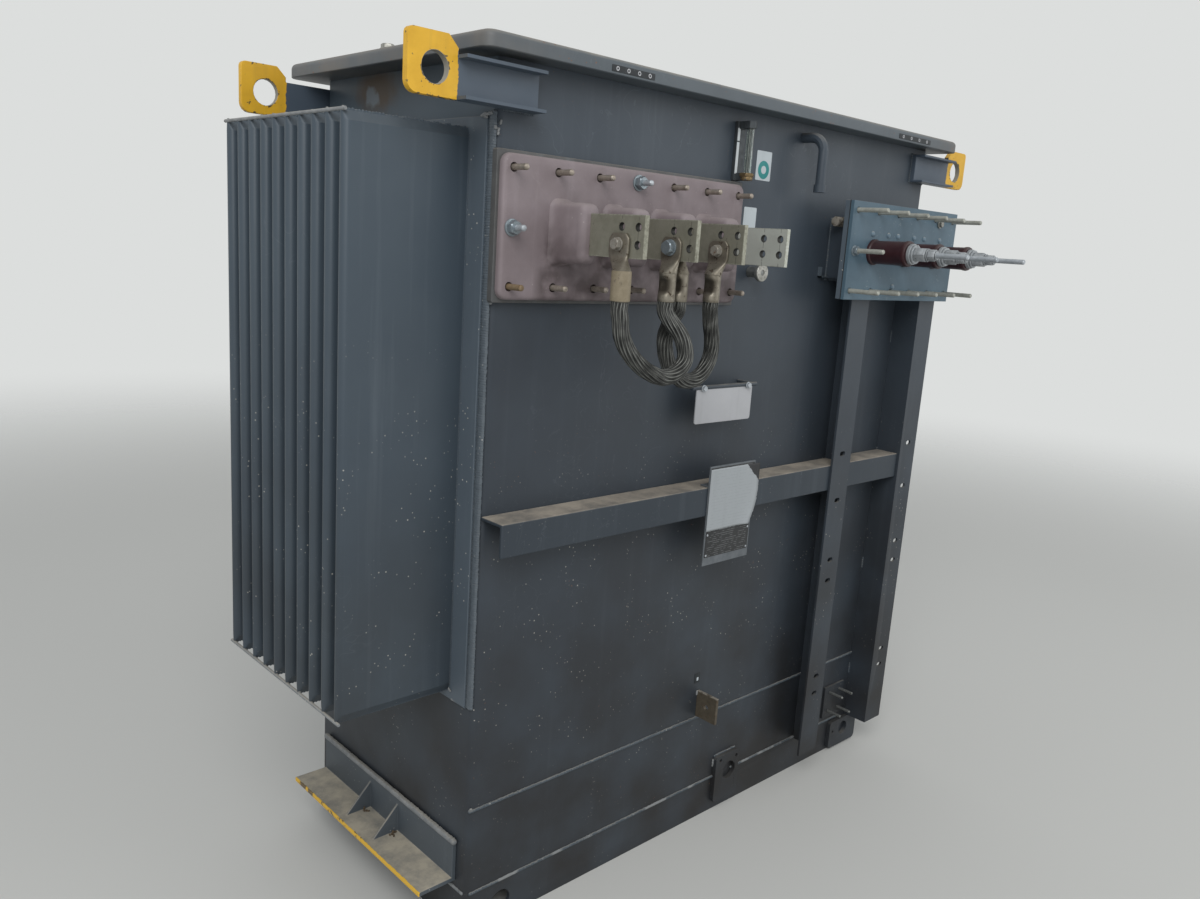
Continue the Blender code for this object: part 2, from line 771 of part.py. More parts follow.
def cable_lug(name, number, side, shift_share):
    """A drilled palm against the bar's side, cranked out to a barrel that points down."""
    face = bar_x(number) + side * (BAR_THICK / 2 + CLEAR)
    outline = rounded(
        (BOLT_Y - PALM_WIDTH / 2, BOLT_Y + PALM_WIDTH / 2),
        (BOLT_Z - PALM_LOW, BOLT_Z + PALM_RISE),
        PALM_ROUND,
    )
    palm = prism(name, outline, "x", *sorted((face, face + side * PALM_THICK)), PARTS)
    axis = face + side * (BARREL_RADIUS + CLEAR)
    middle = face + side * PALM_THICK / 2
    y = BOLT_Y - shift_share * PALM_WIDTH
    crank = BOLT_Z - PALM_LOW - CRANK_HEIGHT
    mouth = crank - BARREL_LENGTH
    flat = (PALM_THICK * CRANK_SHARE, PALM_WIDTH * CRANK_SHARE)
    rings = [
        ellipse(middle, BOLT_Y, BOLT_Z - PALM_LOW + CRANK_OVERLAP, *flat),
        ellipse(axis, y, crank, BARREL_RADIUS, BARREL_RADIUS),
        ellipse(axis, y, mouth, BARREL_RADIUS, BARREL_RADIUS),
    ]
    fuse(palm, loft(name + "_barrel", rings[::-1]))
    start = (face - side * OVERRUN, BOLT_Y, BOLT_Z)
    through = side * (PALM_THICK + 2 * OVERRUN)
    cut(palm, rod(name + "_hole", start, "x", through, PALM_HOLE_RADIUS))
    finish(palm, LUG_TIN)
    return np.array((axis, y, mouth - CLEAR))


def smooth_route(given, count):
    """Points at even steps along a curve through the given ones."""
    padded = np.vstack([2 * given[0] - given[1], given, 2 * given[-1] - given[-2]])
    fine = []
    for a, b, c, d in zip(padded, padded[1:], padded[2:], padded[3:]):
        for t in np.linspace(0, 1, 20, endpoint=False):
            bend = (2 * a - 5 * b + 4 * c - d) * t**2 + (3 * b - a - 3 * c + d) * t**3
            fine.append((2 * b + (c - a) * t + bend) / 2)
    fine = np.array(fine + [given[-1]])
    steps = np.linalg.norm(np.diff(fine, axis=0), axis=1)
    run = np.concatenate([[0], np.cumsum(steps)])
    even = np.linspace(0, run[-1], count)
    return np.column_stack([np.interp(even, run, fine[:, k]) for k in range(3)])


def braid(name, start, end, route):
    """A braid from one barrel's mouth to another's, straight where it leaves each."""
    lead = np.array((0, 0, -BRAID_LEAD))
    middle = [start + np.array(step) for step in route]
    points = smooth_route(np.array([start, start + lead, *middle, end + lead, end]), BRAID_POINTS)
    points[1][:2] = start[:2]
    points[-2][:2] = end[:2]
    made = bpy.data.objects.new(name, tube(name, points, BRAID_RADIUS, 3))
    PARTS.objects.link(made)
    finish(made, BRAID_METAL)


def hv_turret():
    outline = rounded(
        (HV_FOOT + NECK_INSET_Z, HV_HEAD - NECK_INSET_Z),
        (HV_X0 + NECK_INSET_X, HV_X1 - NECK_INSET_X),
        NECK_CORNER,
    )
    frame = (HV_BACK + CLEAR, HV_BACK + CLEAR + HV_FRAME_THICK)
    turret = box("hv_turret", (HV_X0, HV_X1), frame, (HV_FOOT, HV_HEAD), PARTS)
    fuse(turret, prism("hv_neck", outline, "y", sum(frame) / 2, Y0 - CLEAR))
    plate = box("hv_plate", (HV_X0, HV_X1), (HV_Y, HV_BACK), (HV_FOOT, HV_HEAD), PARTS)
    ends = (HV_X0 + HV_STUD_INSET, HV_X1 - HV_STUD_INSET)
    rows = (HV_FOOT + HV_STUD_INSET, HV_HEAD - HV_STUD_INSET)
    through = -(HV_PLATE_THICK + 2 * OVERRUN)
    for x, z in stud_row(*ends, *rows, HV_STUDS):
        start = (x, sum(frame) / 2, z)
        reach = HV_Y - HV_STUD_REACH - sum(frame) / 2
        fuse(turret, rod("hv_stud", start, "y", reach, HV_STUD_RADIUS))
        start = (x, HV_BACK + OVERRUN, z)
        cut(plate, rod("hv_stud_hole", start, "y", through, HV_STUD_HOLE_RADIUS))
    hole = HV_SPIGOT_RADIUS + CLEAR
    for number in range(HV_BUSHINGS):
        start = (bushing_x(number), HV_BACK + OVERRUN, HV_MIDDLE)
        cut(plate, rod("hv_bushing_hole", start, "y", through, hole, ROUND_SIDES))
    finish(turret, TANK_PAINT)
    finish(plate, HV_PAINT)


def bushing_x(number):
    return (HV_X0 + HV_X1) / 2 + HV_BUSHING_PITCH * (number - (HV_BUSHINGS - 1) / 2)


def bushing(number):
    """A moulded cone seat: a spigot through the plate and a drum with soft edges before it."""
    end = HV_BUSHING_REACH
    soft = HV_BUSHING_ROUND
    profile = (
        (CLEAR - HV_PLATE_THICK, HV_SPIGOT_RADIUS),
        (CLEAR, HV_SPIGOT_RADIUS),
        (CLEAR, HV_BUSHING_RADIUS - soft),
        (soft, HV_BUSHING_RADIUS),
        (end - soft, HV_BUSHING_RADIUS),
        (end - soft / 3, HV_BUSHING_RADIUS - soft / 3),
        (end, HV_BUSHING_RADIUS - soft),
    )
    x = bushing_x(number)
    rings = []
    for reach, radius in profile:
        ring = ellipse(x, HV_MIDDLE, 0, radius, radius)
        rings.append([(a, HV_Y - reach, b) for a, b, _ in ring])
    finish(loft(f"hv_bushing_{number + 1}", rings, PARTS), HV_RESIN)


def hv_terminal(number):
    x = bushing_x(number)
    y = HV_Y - HV_BUSHING_REACH - CLEAR
    name = f"hv_terminal_{number + 1}"
    stem = rod(name, (x, y, HV_MIDDLE), "y", -TERMINAL_REACH, STEM_RADIUS, group=PARTS)
    for place, length, radius, hexagon in NUT_SHARES:
        start = (x, y - place * TERMINAL_REACH, HV_MIDDLE)
        reach = -length * TERMINAL_REACH
        sides = HEX_SIDES if hexagon else ROUND_SIDES
        fuse(stem, rod("hv_nut", start, "y", reach, radius * COLLAR_RADIUS, sides))
    finish(stem, NUT_ZINC)


def post(name, start, side):
    """An angle standing before the tank, its flange slotted for cable brackets."""
    web = start + side * POST_FLANGE
    section = [
        (start, POST_Y),
        (web, POST_Y),
        (web, Y0 - CLEAR),
        (web - side * POST_THICK, Y0 - CLEAR),
        (web - side * POST_THICK, POST_Y + POST_THICK),
        (start, POST_Y + POST_THICK),
    ]
    angle = prism(name, section, "z", POST_FOOT, POST_HEAD, PARTS)
    middle = start + side * POST_FLANGE / 2
    across = (middle - SLOT_LENGTH / 2, middle + SLOT_LENGTH / 2)
    for share in SLOT_SHARES:
        z = POST_FOOT + share * (POST_HEAD - POST_FOOT)
        up = (z - SLOT_HEIGHT / 2, z + SLOT_HEIGHT / 2)
        outline = rounded(up, across, SLOT_HEIGHT / 2 - WELD, SLOT_STEPS)
        through = (POST_Y - OVERRUN, POST_Y + POST_THICK + OVERRUN)
        cut(angle, prism(name + "_slot", outline, "y", *through))
    finish(angle, TANK_PAINT)


def gauge():
    x = X0 + GAUGE_X
    y = Y0 - GAUGE_REACH
    low, high = LV_HEAD + GAUGE_GAP, TANK_TOP - GAUGE_DROP
    block = GAUGE_NUT_RADIUS
    arm = block * GAUGE_ARM_SHARE
    depth = (Y0 - CLEAR, Y0 - GAUGE_TUBE_RADIUS)
    back = box("gauge_body", (x - block, x + block), depth, (low, high), PARTS)
    for z, turn in ((low, 1), (high, -1)):
        inner = z + turn * GAUGE_NUT_HEIGHT
        reach = (Y0 - GAUGE_TUBE_RADIUS / 2, y)
        fuse(back, box("gauge_arm", (x - arm, x + arm), reach, (z, inner)))
        fuse(back, rod("gauge_nut", (x, y, z), "z", inner - z, block, HEX_SIDES))
    finish(back, GAUGE_METAL)
    start = (x, y, low + GAUGE_NUT_HEIGHT + CLEAR)
    reach = high - low - 2 * GAUGE_NUT_HEIGHT - 2 * CLEAR
    glass = rod("gauge_tube", start, "z", reach, GAUGE_TUBE_RADIUS, ROUND_SIDES, PARTS)
    finish(glass, GAUGE_GLASS)


def relief_pipe():
    """A pipe that leaves the tank, bends down and ends in a collar."""
    x = X0 + PIPE_X
    y = Y0 - PIPE_REACH
    top = TANK_TOP - PIPE_DROP
    bend = quarter(y + PIPE_BEND, top - PIPE_BEND, PIPE_BEND, 1, 6)
    route = [(x, Y0 - CLEAR, top)] + [(x, a, b) for a, b in bend]
    route.append((x, y, top - PIPE_LENGTH))
    shape = curve_mesh("relief_pipe", tube("relief_pipe", route, PIPE_RADIUS, 3))
    pipe = object_of("relief_pipe", mesh_of("relief_pipe", shape), (0, 0, 0), PARTS)
    start = (x, y, top - PIPE_LENGTH)
    fuse(pipe, rod("pipe_collar", start, "z", PIPE_COLLAR_HEIGHT, PIPE_COLLAR_RADIUS, ROUND_SIDES))
    finish(pipe, TANK_PAINT)


def oil_valve():
    x = LV_X1 + VALVE_GAP
    z = LV_FOOT + VALVE_RISE
    start = (x, Y0 - CLEAR, z)
    body = rod("oil_valve", start, "y", -VALVE_REACH, VALVE_BODY_RADIUS, group=PARTS)
    start = (x, Y0 - VALVE_REACH, z)
    fuse(body, rod("valve_disc", start, "y", -VALVE_DISC, VALVE_RADIUS, ROUND_SIDES))
    finish(body, NUT_ZINC)


def sign_board():
    """A blank sheet that hangs from a bar on two short arms."""
    left = X0 + SIGN_LEFT
    right = left + SIGN_WIDTH
    y = Y0 - SIGN_REACH
    low = RAIL_TOP + SIGN_RISE
    high = low + SIGN_HEIGHT + SIGN_BAR_RADIUS
    reach = SIGN_WIDTH + 2 * SIGN_BAR_EXTRA
    start = (left - SIGN_BAR_EXTRA, y, high)
    bar = rod("sign_board", start, "x", reach, SIGN_BAR_RADIUS, group=PARTS)
    depth = (y - SIGN_THICK / 2, y + SIGN_THICK / 2)
    fuse(bar, box("sign_sheet", (left, right), depth, (low, high)))
    for x in (left - SIGN_BAR_EXTRA / 2, right + SIGN_BAR_EXTRA / 2):
        fuse(bar, rod("sign_arm", (x, y, high), "y", SIGN_REACH - CLEAR, SIGN_ARM_RADIUS))
    finish(bar, SIGN_WHITE)


def nameplate():
    """A sheet before the rail, with a tab that lies on the rail's top."""
    across = (X0 + PLATE_LEFT, X0 + PLATE_LEFT + PLATE_WIDTH)
    back = Y0 - RAIL_REACH - CLEAR
    head = RAIL_TOP + PLATE_RISE
    depth = (back - PLATE_THICK, back)
    sheet = box("nameplate", across, depth, (head - PLATE_HEIGHT, head), PARTS)
    depth = (back - PLATE_THICK / 2, back + PLATE_TAB)
    seat = (RAIL_TOP + CLEAR, RAIL_TOP + CLEAR + PLATE_THICK)
    fuse(sheet, box("nameplate_tab", across, depth, seat))
    finish(sheet, SIGN_WHITE)


def earth_terminal():
    x = X0 + EARTH_X
    low = TANK_BASE + EARTH_RISE
    depth = (Y0 - EARTH_REACH, Y0 - CLEAR)
    rise = (low, low + EARTH_HEIGHT)
    plate = box("earth_terminal", (x, x + EARTH_THICK), depth, rise, PARTS)
    start = (x - OVERRUN, Y0 - EARTH_REACH / 2, sum(rise) / 2)
    through = EARTH_THICK + 2 * OVERRUN
    cut(plate, rod("earth_hole", start, "x", through, EARTH_HOLE_RADIUS))
    finish(plate, EARTH_METAL)


def pull_eye(name, x, width, foot, head, radius, shares):
    """A drilled plate low on the front, its holes placed by shares of its width and height."""
    back = Y0 - CLEAR
    outline = rounded((foot, head), (x - width / 2, x + width / 2), EYE_CORNER)
    plate = prism(name, outline, "y", back - EYE_THICK, back, PARTS)
    through = -(EYE_THICK + 2 * OVERRUN)
    for number, (across, up) in enumerate(shares):
        z = (foot + head) / 2 + up * (head - foot)
        start = (x + across * width, back + OVERRUN, z)
        size = EYE_SMALL_HOLE_RADIUS if number else radius
        sides = SMALL_SIDES if number else ROUND_SIDES
        cut(plate, rod(name + "_hole", start, "y", through, size, sides))
    finish(plate, TANK_PAINT)


def stud_pad():
    x = X1 - STUD_PAD_IN
    low = EYE_TWO_HEAD + STUD_PAD_GAP
    half = STUD_PAD_SIZE / 2
    back = Y0 - CLEAR
    depth = (back - STUD_PAD_THICK, back)
    pad = box("stud_pad", (x - half, x + half), depth, (low, low + STUD_PAD_SIZE), PARTS)
    for dx in (-PAD_STUD_GAP / 2, PAD_STUD_GAP / 2):
        for dz in (-PAD_STUD_RISE / 2, PAD_STUD_RISE / 2):
            start = (x + dx, back - STUD_PAD_THICK / 2, low + half + dz)
            fuse(pad, rod("pad_stud", start, "y", -PAD_STUD_REACH, PAD_STUD_RADIUS))
    finish(pad, TANK_PAINT)


def shade_round():
    for obj in PARTS.objects:
        if obj.type == "MESH":
            obj.data.shade_smooth()
            obj.data.set_sharp_from_angle(angle=math.radians(35))


clear_scene()
PARTS = new_collection("power_transformer")
HELPERS = new_collection("cutters")
TANK_PAINT = paint("TankPaint", "#4c5760", 0.55, 0.0)
FIN_PAINT = paint("FinPaint", "#434e57", 0.50, 0.0)
LID_PAINT = paint("LidPaint", "#77787a", 0.75, 0.0)
LUG_YELLOW = paint("YellowPaint", "#d9a92b", 0.50, 0.0)
LV_RESIN = paint("GreyResin", "#8d7f83", 0.60, 0.0)
BAR_TIN = paint("TinnedBar", "#7e8176", 0.45, 0.7)
LUG_TIN = paint("TinnedLug", "#8b7f70", 0.45, 0.7)
BRAID_METAL = paint("BraidedCopper", "#4b4b4a", 0.55, 0.5)
HV_PAINT = paint("PlatePaint", "#5c6f7a", 0.50, 0.0)
HV_RESIN = paint("RedBrownResin", "#4a2a2e", 0.40, 0.0)
NUT_ZINC = paint("ZincHardware", "#a9a7a2", 0.40, 0.8)
GAUGE_METAL = paint("GaugeMetal", "#8c8f8d", 0.40, 0.6)
GAUGE_GLASS = paint("GaugeGlass", "#b9c4c0", 0.15, 0.0)
SIGN_WHITE = paint("WhiteSheet", "#d9dbdb", 0.50, 0.0)
EARTH_METAL = paint("EarthSteel", "#7b6f60", 0.50, 0.7)

tank()
skirt()
lid()
fins()
rails()
foot("foot_left", -1)
foot("foot_right", 1)
lifting_lug("lifting_lug_front_left", -1, -1)
lifting_lug("lifting_lug_front_right", 1, -1)
lifting_lug("lifting_lug_back_left", -1, 1)
lifting_lug("lifting_lug_back_right", 1, 1)
lv_plate()
for bar_number in range(BARS):
    lv_bar(bar_number)
MOUTH_1 = cable_lug("cable_lug_1", 0, -1, 0.5)
MOUTH_2 = cable_lug("cable_lug_2", 1, -1, 0.18)
MOUTH_3 = cable_lug("cable_lug_3", 1, 1, 0)
MOUTH_4 = cable_lug("cable_lug_4", 2, -1, 0.06)
braid("braid_left", MOUTH_1, MOUTH_2, LEFT_ROUTE)
braid("braid_right", MOUTH_3, MOUTH_4, RIGHT_ROUTE)
hv_turret()
for bushing_number in range(HV_BUSHINGS):
    bushing(bushing_number)
    hv_terminal(bushing_number)
post("post_left", POST_X0, 1)
post("post_right", POST_X1, -1)
gauge()
relief_pipe()
oil_valve()
sign_board()
nameplate()
earth_terminal()
pull_eye(
    "pull_eye_left",
    X0 + EYE_ONE_X,
    EYE_ONE_WIDTH,
    EYE_ONE_FOOT,
    EYE_ONE_FOOT + EYE_ONE_HEIGHT,
    EYE_ONE_HOLE_RADIUS,
    EYE_ONE_SHARES,
)
pull_eye(
    "pull_eye_right",
    X1 - EYE_TWO_IN,
    EYE_TWO_WIDTH,
    EYE_TWO_FOOT,
    EYE_TWO_HEAD,
    EYE_TWO_HOLE_RADIUS,
    EYE_TWO_SHARES,
)
stud_pad()
shade_round()
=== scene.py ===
import math

import bmesh
import bpy
import numpy as np
from mathutils import Matrix, Vector


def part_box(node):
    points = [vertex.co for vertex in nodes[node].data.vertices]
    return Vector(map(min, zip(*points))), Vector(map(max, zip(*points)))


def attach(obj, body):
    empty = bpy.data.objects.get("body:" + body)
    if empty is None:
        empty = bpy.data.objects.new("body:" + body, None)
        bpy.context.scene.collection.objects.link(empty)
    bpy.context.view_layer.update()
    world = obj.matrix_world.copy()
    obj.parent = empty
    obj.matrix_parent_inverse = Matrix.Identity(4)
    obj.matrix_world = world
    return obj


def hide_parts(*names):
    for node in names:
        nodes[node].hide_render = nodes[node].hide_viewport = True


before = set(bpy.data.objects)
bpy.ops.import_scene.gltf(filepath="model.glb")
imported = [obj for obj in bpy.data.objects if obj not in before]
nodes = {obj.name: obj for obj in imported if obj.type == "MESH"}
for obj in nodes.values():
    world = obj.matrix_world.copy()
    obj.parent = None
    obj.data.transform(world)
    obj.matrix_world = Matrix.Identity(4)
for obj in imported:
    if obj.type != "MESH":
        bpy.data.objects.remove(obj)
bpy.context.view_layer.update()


def middleOf(node):
    low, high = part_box(node)
    return (Vector(low) + Vector(high)) / 2


leftX, frontY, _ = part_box("tank_body")[0]
rightX, backY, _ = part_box("tank_body")[1]
middleX, middleY, _ = middleOf("tank_body")
boltY = middleOf("cable_lug_3").y
scene = bpy.context.scene
scene.view_settings.view_transform = "Standard"
print("stage: frame loaded")

# Camera, fitted to the photograph's own edges
eye = {
    "place": (-1.8152, -1.6454, 1.4683),
    "yaw": 43.664,
    "pitch": -11.825,
    "roll": 3.816,
    "lens": 29.217,
}


def makeCamera(look):
    yaw, pitch, roll = (math.radians(look[key]) for key in ("yaw", "pitch", "roll"))
    ahead = Vector((math.sin(yaw) * math.cos(pitch), math.cos(yaw) * math.cos(pitch), math.sin(pitch)))
    right = Vector((math.cos(yaw), -math.sin(yaw), 0))
    over = right.cross(ahead)
    across = math.cos(roll) * right + math.sin(roll) * over
    up = math.cos(roll) * over - math.sin(roll) * right
    camera = bpy.data.objects.new("camera", bpy.data.cameras.new("camera"))
    camera.data.lens = look["lens"]
    camera.data.sensor_width = 36
    camera.data.clip_end = 100
    turn = Matrix((across, up, -ahead)).transposed().to_4x4()
    camera.matrix_world = Matrix.Translation(look["place"]) @ turn
    scene.collection.objects.link(camera)
    scene.camera = camera


makeCamera(eye)


def tone(code):
    # sRGB hex to linear
    parts = [int(code[i : i + 2], 16) / 255 for i in (1, 3, 5)]
    return tuple(c / 12.92 if c <= 0.04045 else ((c + 0.055) / 1.055) ** 2.4 for c in parts) + (1,)


def addNode(tree, kind, inputs=None, **settings):
    # an input is a number, a colour, a socket, or a node whose first output is meant
    made = tree.nodes.new(kind)
    for key, value in settings.items():
        setattr(made, key, value)
    for key, value in (inputs or {}).items():
        if isinstance(value, bpy.types.Node):
            value = value.outputs[0]
        if isinstance(value, bpy.types.NodeSocket):
            tree.links.new(value, made.inputs[key])
        else:
            made.inputs[key].default_value = value
    return made


# Meshes in code
def finishedMesh(shape, weld=0.00001):
    bmesh.ops.remove_doubles(shape, verts=shape.verts, dist=weld)
    bmesh.ops.recalc_face_normals(shape, faces=shape.faces)
    return plainMesh(shape)


def plainMesh(shape):
    mesh = bpy.data.meshes.new("shape")
    shape.to_mesh(mesh)
    shape.free()
    return mesh


def newPiece(name, shape, material=None, replaced=(), smooth=35):
    # a shape in the making is closed first; a grown mesh brings its own material
    mesh = finishedMesh(shape) if isinstance(shape, bmesh.types.BMesh) else shape
    piece = bpy.data.objects.new(name, mesh)
    scene.collection.objects.link(piece)
    if material is not None:
        mesh.materials.clear()
        mesh.materials.append(material)
    mesh.shade_smooth()
    mesh.set_sharp_from_angle(angle=math.radians(smooth))
    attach(piece, "root")
    if replaced:
        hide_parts(*replaced)
    return piece


def softEdges(piece, width):
    step = piece.modifiers.new("softEdges", "BEVEL")
    step.width = width
    step.segments = 2
    step.limit_method = "ANGLE"
    step.angle_limit = math.radians(30)
    step.harden_normals = True


def softCopy(node, material, width):
    # the CAD node's own shape, merged and with its edges eased
    shape = bmesh.new()
    shape.from_mesh(nodes[node].data)
    bmesh.ops.remove_doubles(shape, verts=shape.verts, dist=0.00002)
    bmesh.ops.dissolve_limit(shape, angle_limit=math.radians(0.4), verts=shape.verts, edges=shape.edges)
    piece = newPiece(node + "_made", plainMesh(shape), material, (node,))
    if width:
        softEdges(piece, width)


def aim(place, direction):
    # Z of the shape turns to the direction
    turn = Vector(direction).to_track_quat("Z", "Y").to_matrix().to_4x4()
    return Matrix.Translation(place) @ turn


forward = aim((0, 0, 0), (0, -1, 0))


def skin(shape, rings, matrix=None):
    # closed loft through like rings
    rows = [[shape.verts.new(matrix @ Vector(p) if matrix else Vector(p)) for p in ring] for ring in rings]
    for low, high in zip(rows, rows[1:]):
        for i in range(len(low)):
            j = (i + 1) % len(low)
            shape.faces.new((low[i], low[j], high[j], high[i]))
    shape.faces.new(rows[0][::-1])
    shape.faces.new(rows[-1])


def circle(radius, height, sides=24):
    turns = [2 * math.pi * i / sides for i in range(sides)]
    return [(radius * math.cos(t), radius * math.sin(t), height) for t in turns]


def turned(shape, profile, matrix, sides=24):
    # profile is (height, radius) from one end to the other
    skin(shape, [circle(max(r, 0.0001), h, sides) for h, r in profile], matrix)


def hexagon(shape, matrix, across, height, low=0.0):
    # a nut or bolt head, its corners cut back by a cone
    def ring(z, limit):
        found = []
        for i in range(24):
            t = 2 * math.pi * i / 24
            flat = (t + math.pi / 6) % (math.pi / 3) - math.pi / 6
            r = min(across / 2 / math.cos(flat), limit)
            found.append((r * math.cos(t), r * math.sin(t), z))
        return found

    edge, cut, uncut = across * 0.07, across * 0.48, 1
    high = low + height
    skin(shape, [ring(low, cut), ring(low + edge / 2, uncut), ring(high - edge, uncut), ring(high, cut)],
         matrix)


def block(shape, x, y, z):
    low, high = Vector((min(x), min(y), min(z))), Vector((max(x), max(y), max(z)))
    made = bmesh.ops.create_cube(shape, size=1)
    bmesh.ops.scale(shape, vec=high - low, verts=made["verts"])
    bmesh.ops.translate(shape, vec=(low + high) / 2, verts=made["verts"])


def roundCorners(a, b, radius, steps=5):
    a0, a1, b0, b1 = min(a) + radius, max(a) - radius, min(b) + radius, max(b) - radius
    found = []
    for first, (ca, cb) in enumerate(((a1, b1), (a0, b1), (a0, b0), (a1, b0))):
        for step in range(steps + 1):
            t = (first + step / steps) * math.pi / 2
            found.append((ca + radius * math.cos(t), cb + radius * math.sin(t)))
    return found


def pathMesh(paths):
    # polylines as loose edges, for the node trees that follow a path
    shape = bmesh.new()
    for path in paths:
        verts = [shape.verts.new(p) for p in path]
        for a, b in zip(verts, verts[1:]):
            shape.edges.new((a, b))
    return plainMesh(shape)


def pointsAt(places):
    mesh = bpy.data.meshes.new("points")
    mesh.from_pydata([tuple(p) for p in places], [], [])
    return mesh


# Node trees for what repeats
def newTree(name, **inputs):
    tree = bpy.data.node_groups.new(name, "GeometryNodeTree")
    face = tree.interface
    face.new_socket("Geometry", in_out="INPUT", socket_type="NodeSocketGeometry")
    sockets = {}
    for label, kind in {**inputs, "Material": "Material"}.items():
        made = face.new_socket(label, in_out="INPUT", socket_type="NodeSocket" + kind)
        sockets[label] = made.identifier
    face.new_socket("Geometry", in_out="OUTPUT", socket_type="NodeSocketGeometry")
    return tree, sockets, addNode(tree, "NodeGroupInput").outputs


def closeTree(tree, geometry, material):
    real = addNode(tree, "GeometryNodeRealizeInstances", {0: geometry})
    painted = addNode(tree, "GeometryNodeSetMaterial", {"Geometry": real, "Material": material})
    addNode(tree, "NodeGroupOutput", {0: painted})


def grow(mesh, made, material, **values):
    # runs a tree on a seed mesh and gives back the plain mesh
    tree, sockets = made
    seed = bpy.data.objects.new("seed", mesh)
    scene.collection.objects.link(seed)
    step = seed.modifiers.new("nodes", "NODES")
    step.node_group = tree
    for label, value in {**values, "Material": material}.items():
        step[sockets[label]] = value
    seed.update_tag()
    graph = bpy.context.evaluated_depsgraph_get()
    result = bpy.data.meshes.new_from_object(seed.evaluated_get(graph))
    seed.modifiers.remove(step)
    bpy.data.objects.remove(seed)
    return result


def rowTree():
    # the seed shape again and again along one step
    tree, sockets, given = newTree("evenRow", Count="Int", Step="Vector")
    line = addNode(tree, "GeometryNodeMeshLine", {"Count": given["Count"], "Offset": given["Step"]})
    copies = addNode(tree, "GeometryNodeInstanceOnPoints", {"Points": line, "Instance": given["Geometry"]})
    closeTree(tree, copies, given["Material"])
    return tree, sockets


def rodTree():
    # threaded rods from the seed's points, all towards -Y
    tree, sockets, given = newTree("threadedRods", Length="Float", Radius="Float", Thread="Float",
                                   Depth="Float")
    # two rings of points to each turn of the thread
    half = addNode(tree, "ShaderNodeMath", {0: given["Length"], 1: given["Thread"]}, operation="DIVIDE")
    count = addNode(tree, "ShaderNodeMath", {0: half, 1: 2.0}, operation="MULTIPLY")
    rod = addNode(tree, "GeometryNodeMeshCylinder", {"Vertices": 12, "Side Segments": count,
                                                     "Radius": given["Radius"], "Depth": given["Length"]},
                  fill_type="NGON")
    place = addNode(tree, "GeometryNodeInputPosition")
    up = addNode(tree, "ShaderNodeSeparateXYZ", {0: place}).outputs[2]
    along = addNode(tree, "ShaderNodeMath", {0: up, 1: given["Thread"]}, operation="DIVIDE")
    turn = addNode(tree, "ShaderNodeMath", {0: along, 1: 2 * math.pi}, operation="MULTIPLY")
    wave = addNode(tree, "ShaderNodeMath", {0: turn}, operation="COSINE")
    # the last 2 mm of the free end taper
    end = addNode(tree, "ShaderNodeMath", {0: given["Length"], 1: 2.0}, operation="DIVIDE")
    left = addNode(tree, "ShaderNodeMath", {0: end, 1: up}, operation="SUBTRACT")
    taper = addNode(tree, "ShaderNodeMapRange", {
        "Value": left, "From Min": 0.0, "From Max": 0.002, "To Min": -0.3, "To Max": 0.0})
    deep = addNode(tree, "ShaderNodeMath", {0: wave, 1: given["Depth"], 2: taper}, operation="MULTIPLY_ADD")
    flat = addNode(tree, "ShaderNodeVectorMath", {0: place, 1: (1, 1, 0)}, operation="MULTIPLY")
    out = addNode(tree, "ShaderNodeVectorMath", {0: flat, "Scale": deep}, operation="SCALE")
    cut = addNode(tree, "GeometryNodeSetPosition", {"Geometry": rod, "Offset": out})
    reach = addNode(tree, "ShaderNodeMath", {0: given["Length"], 1: -0.5}, operation="MULTIPLY")
    shift = addNode(tree, "ShaderNodeCombineXYZ", {1: reach})
    laid = addNode(tree, "GeometryNodeTransform", {
        "Geometry": cut, "Translation": shift, "Rotation": (math.pi / 2, 0, 0)})
    copies = addNode(tree, "GeometryNodeInstanceOnPoints", {"Points": given["Geometry"], "Instance": laid})
    closeTree(tree, copies, given["Material"])
    return tree, sockets


def fastenerTree():
    # one fastener on every point, each turned about Y by chance
    tree, sockets, given = newTree("fasteners", Fastener="Object", Seed="Int")
    one = addNode(tree, "GeometryNodeObjectInfo", {"Object": given["Fastener"]}).outputs["Geometry"]
    chance = addNode(tree, "FunctionNodeRandomValue", {2: -3.0, 3: 3.0, "Seed": given["Seed"]},
                     data_type="FLOAT")
    turn = addNode(tree, "ShaderNodeCombineXYZ", {1: chance.outputs[1]})
    copies = addNode(tree, "GeometryNodeInstanceOnPoints", {
        "Points": given["Geometry"], "Instance": one, "Rotation": turn})
    closeTree(tree, copies, given["Material"])
    return tree, sockets


def weldTree():
    # overlapping beads along the seed's lines
    tree, sockets, given = newTree("weldBeads", Spacing="Float", Bead="Float", Wander="Float", Least="Vector",
                                   Most="Vector", Seed="Int")
    line = addNode(tree, "GeometryNodeMeshToCurve", {0: given["Geometry"]})
    even = addNode(tree, "GeometryNodeResampleCurve", {"Curve": line, "Length": given["Spacing"]},
                   mode="LENGTH")
    bead = addNode(tree, "GeometryNodeMeshUVSphere", {"Segments": 8, "Rings": 5, "Radius": given["Bead"]})
    size = addNode(tree, "FunctionNodeRandomValue", {
        0: given["Least"], 1: given["Most"], "Seed": given["Seed"]}, data_type="FLOAT_VECTOR")
    off = addNode(tree, "FunctionNodeRandomValue", {
        0: (-1, -1, -1), 1: (1, 1, 1), "Seed": given["Seed"]}, data_type="FLOAT_VECTOR")
    step = addNode(tree, "ShaderNodeVectorMath", {0: off, "Scale": given["Wander"]}, operation="SCALE")
    moved = addNode(tree, "GeometryNodeSetPosition", {"Geometry": even, "Offset": step})
    copies = addNode(tree, "GeometryNodeInstanceOnPoints", {"Points": moved, "Instance": bead, "Scale": size})
    closeTree(tree, copies, given["Material"])
    return tree, sockets


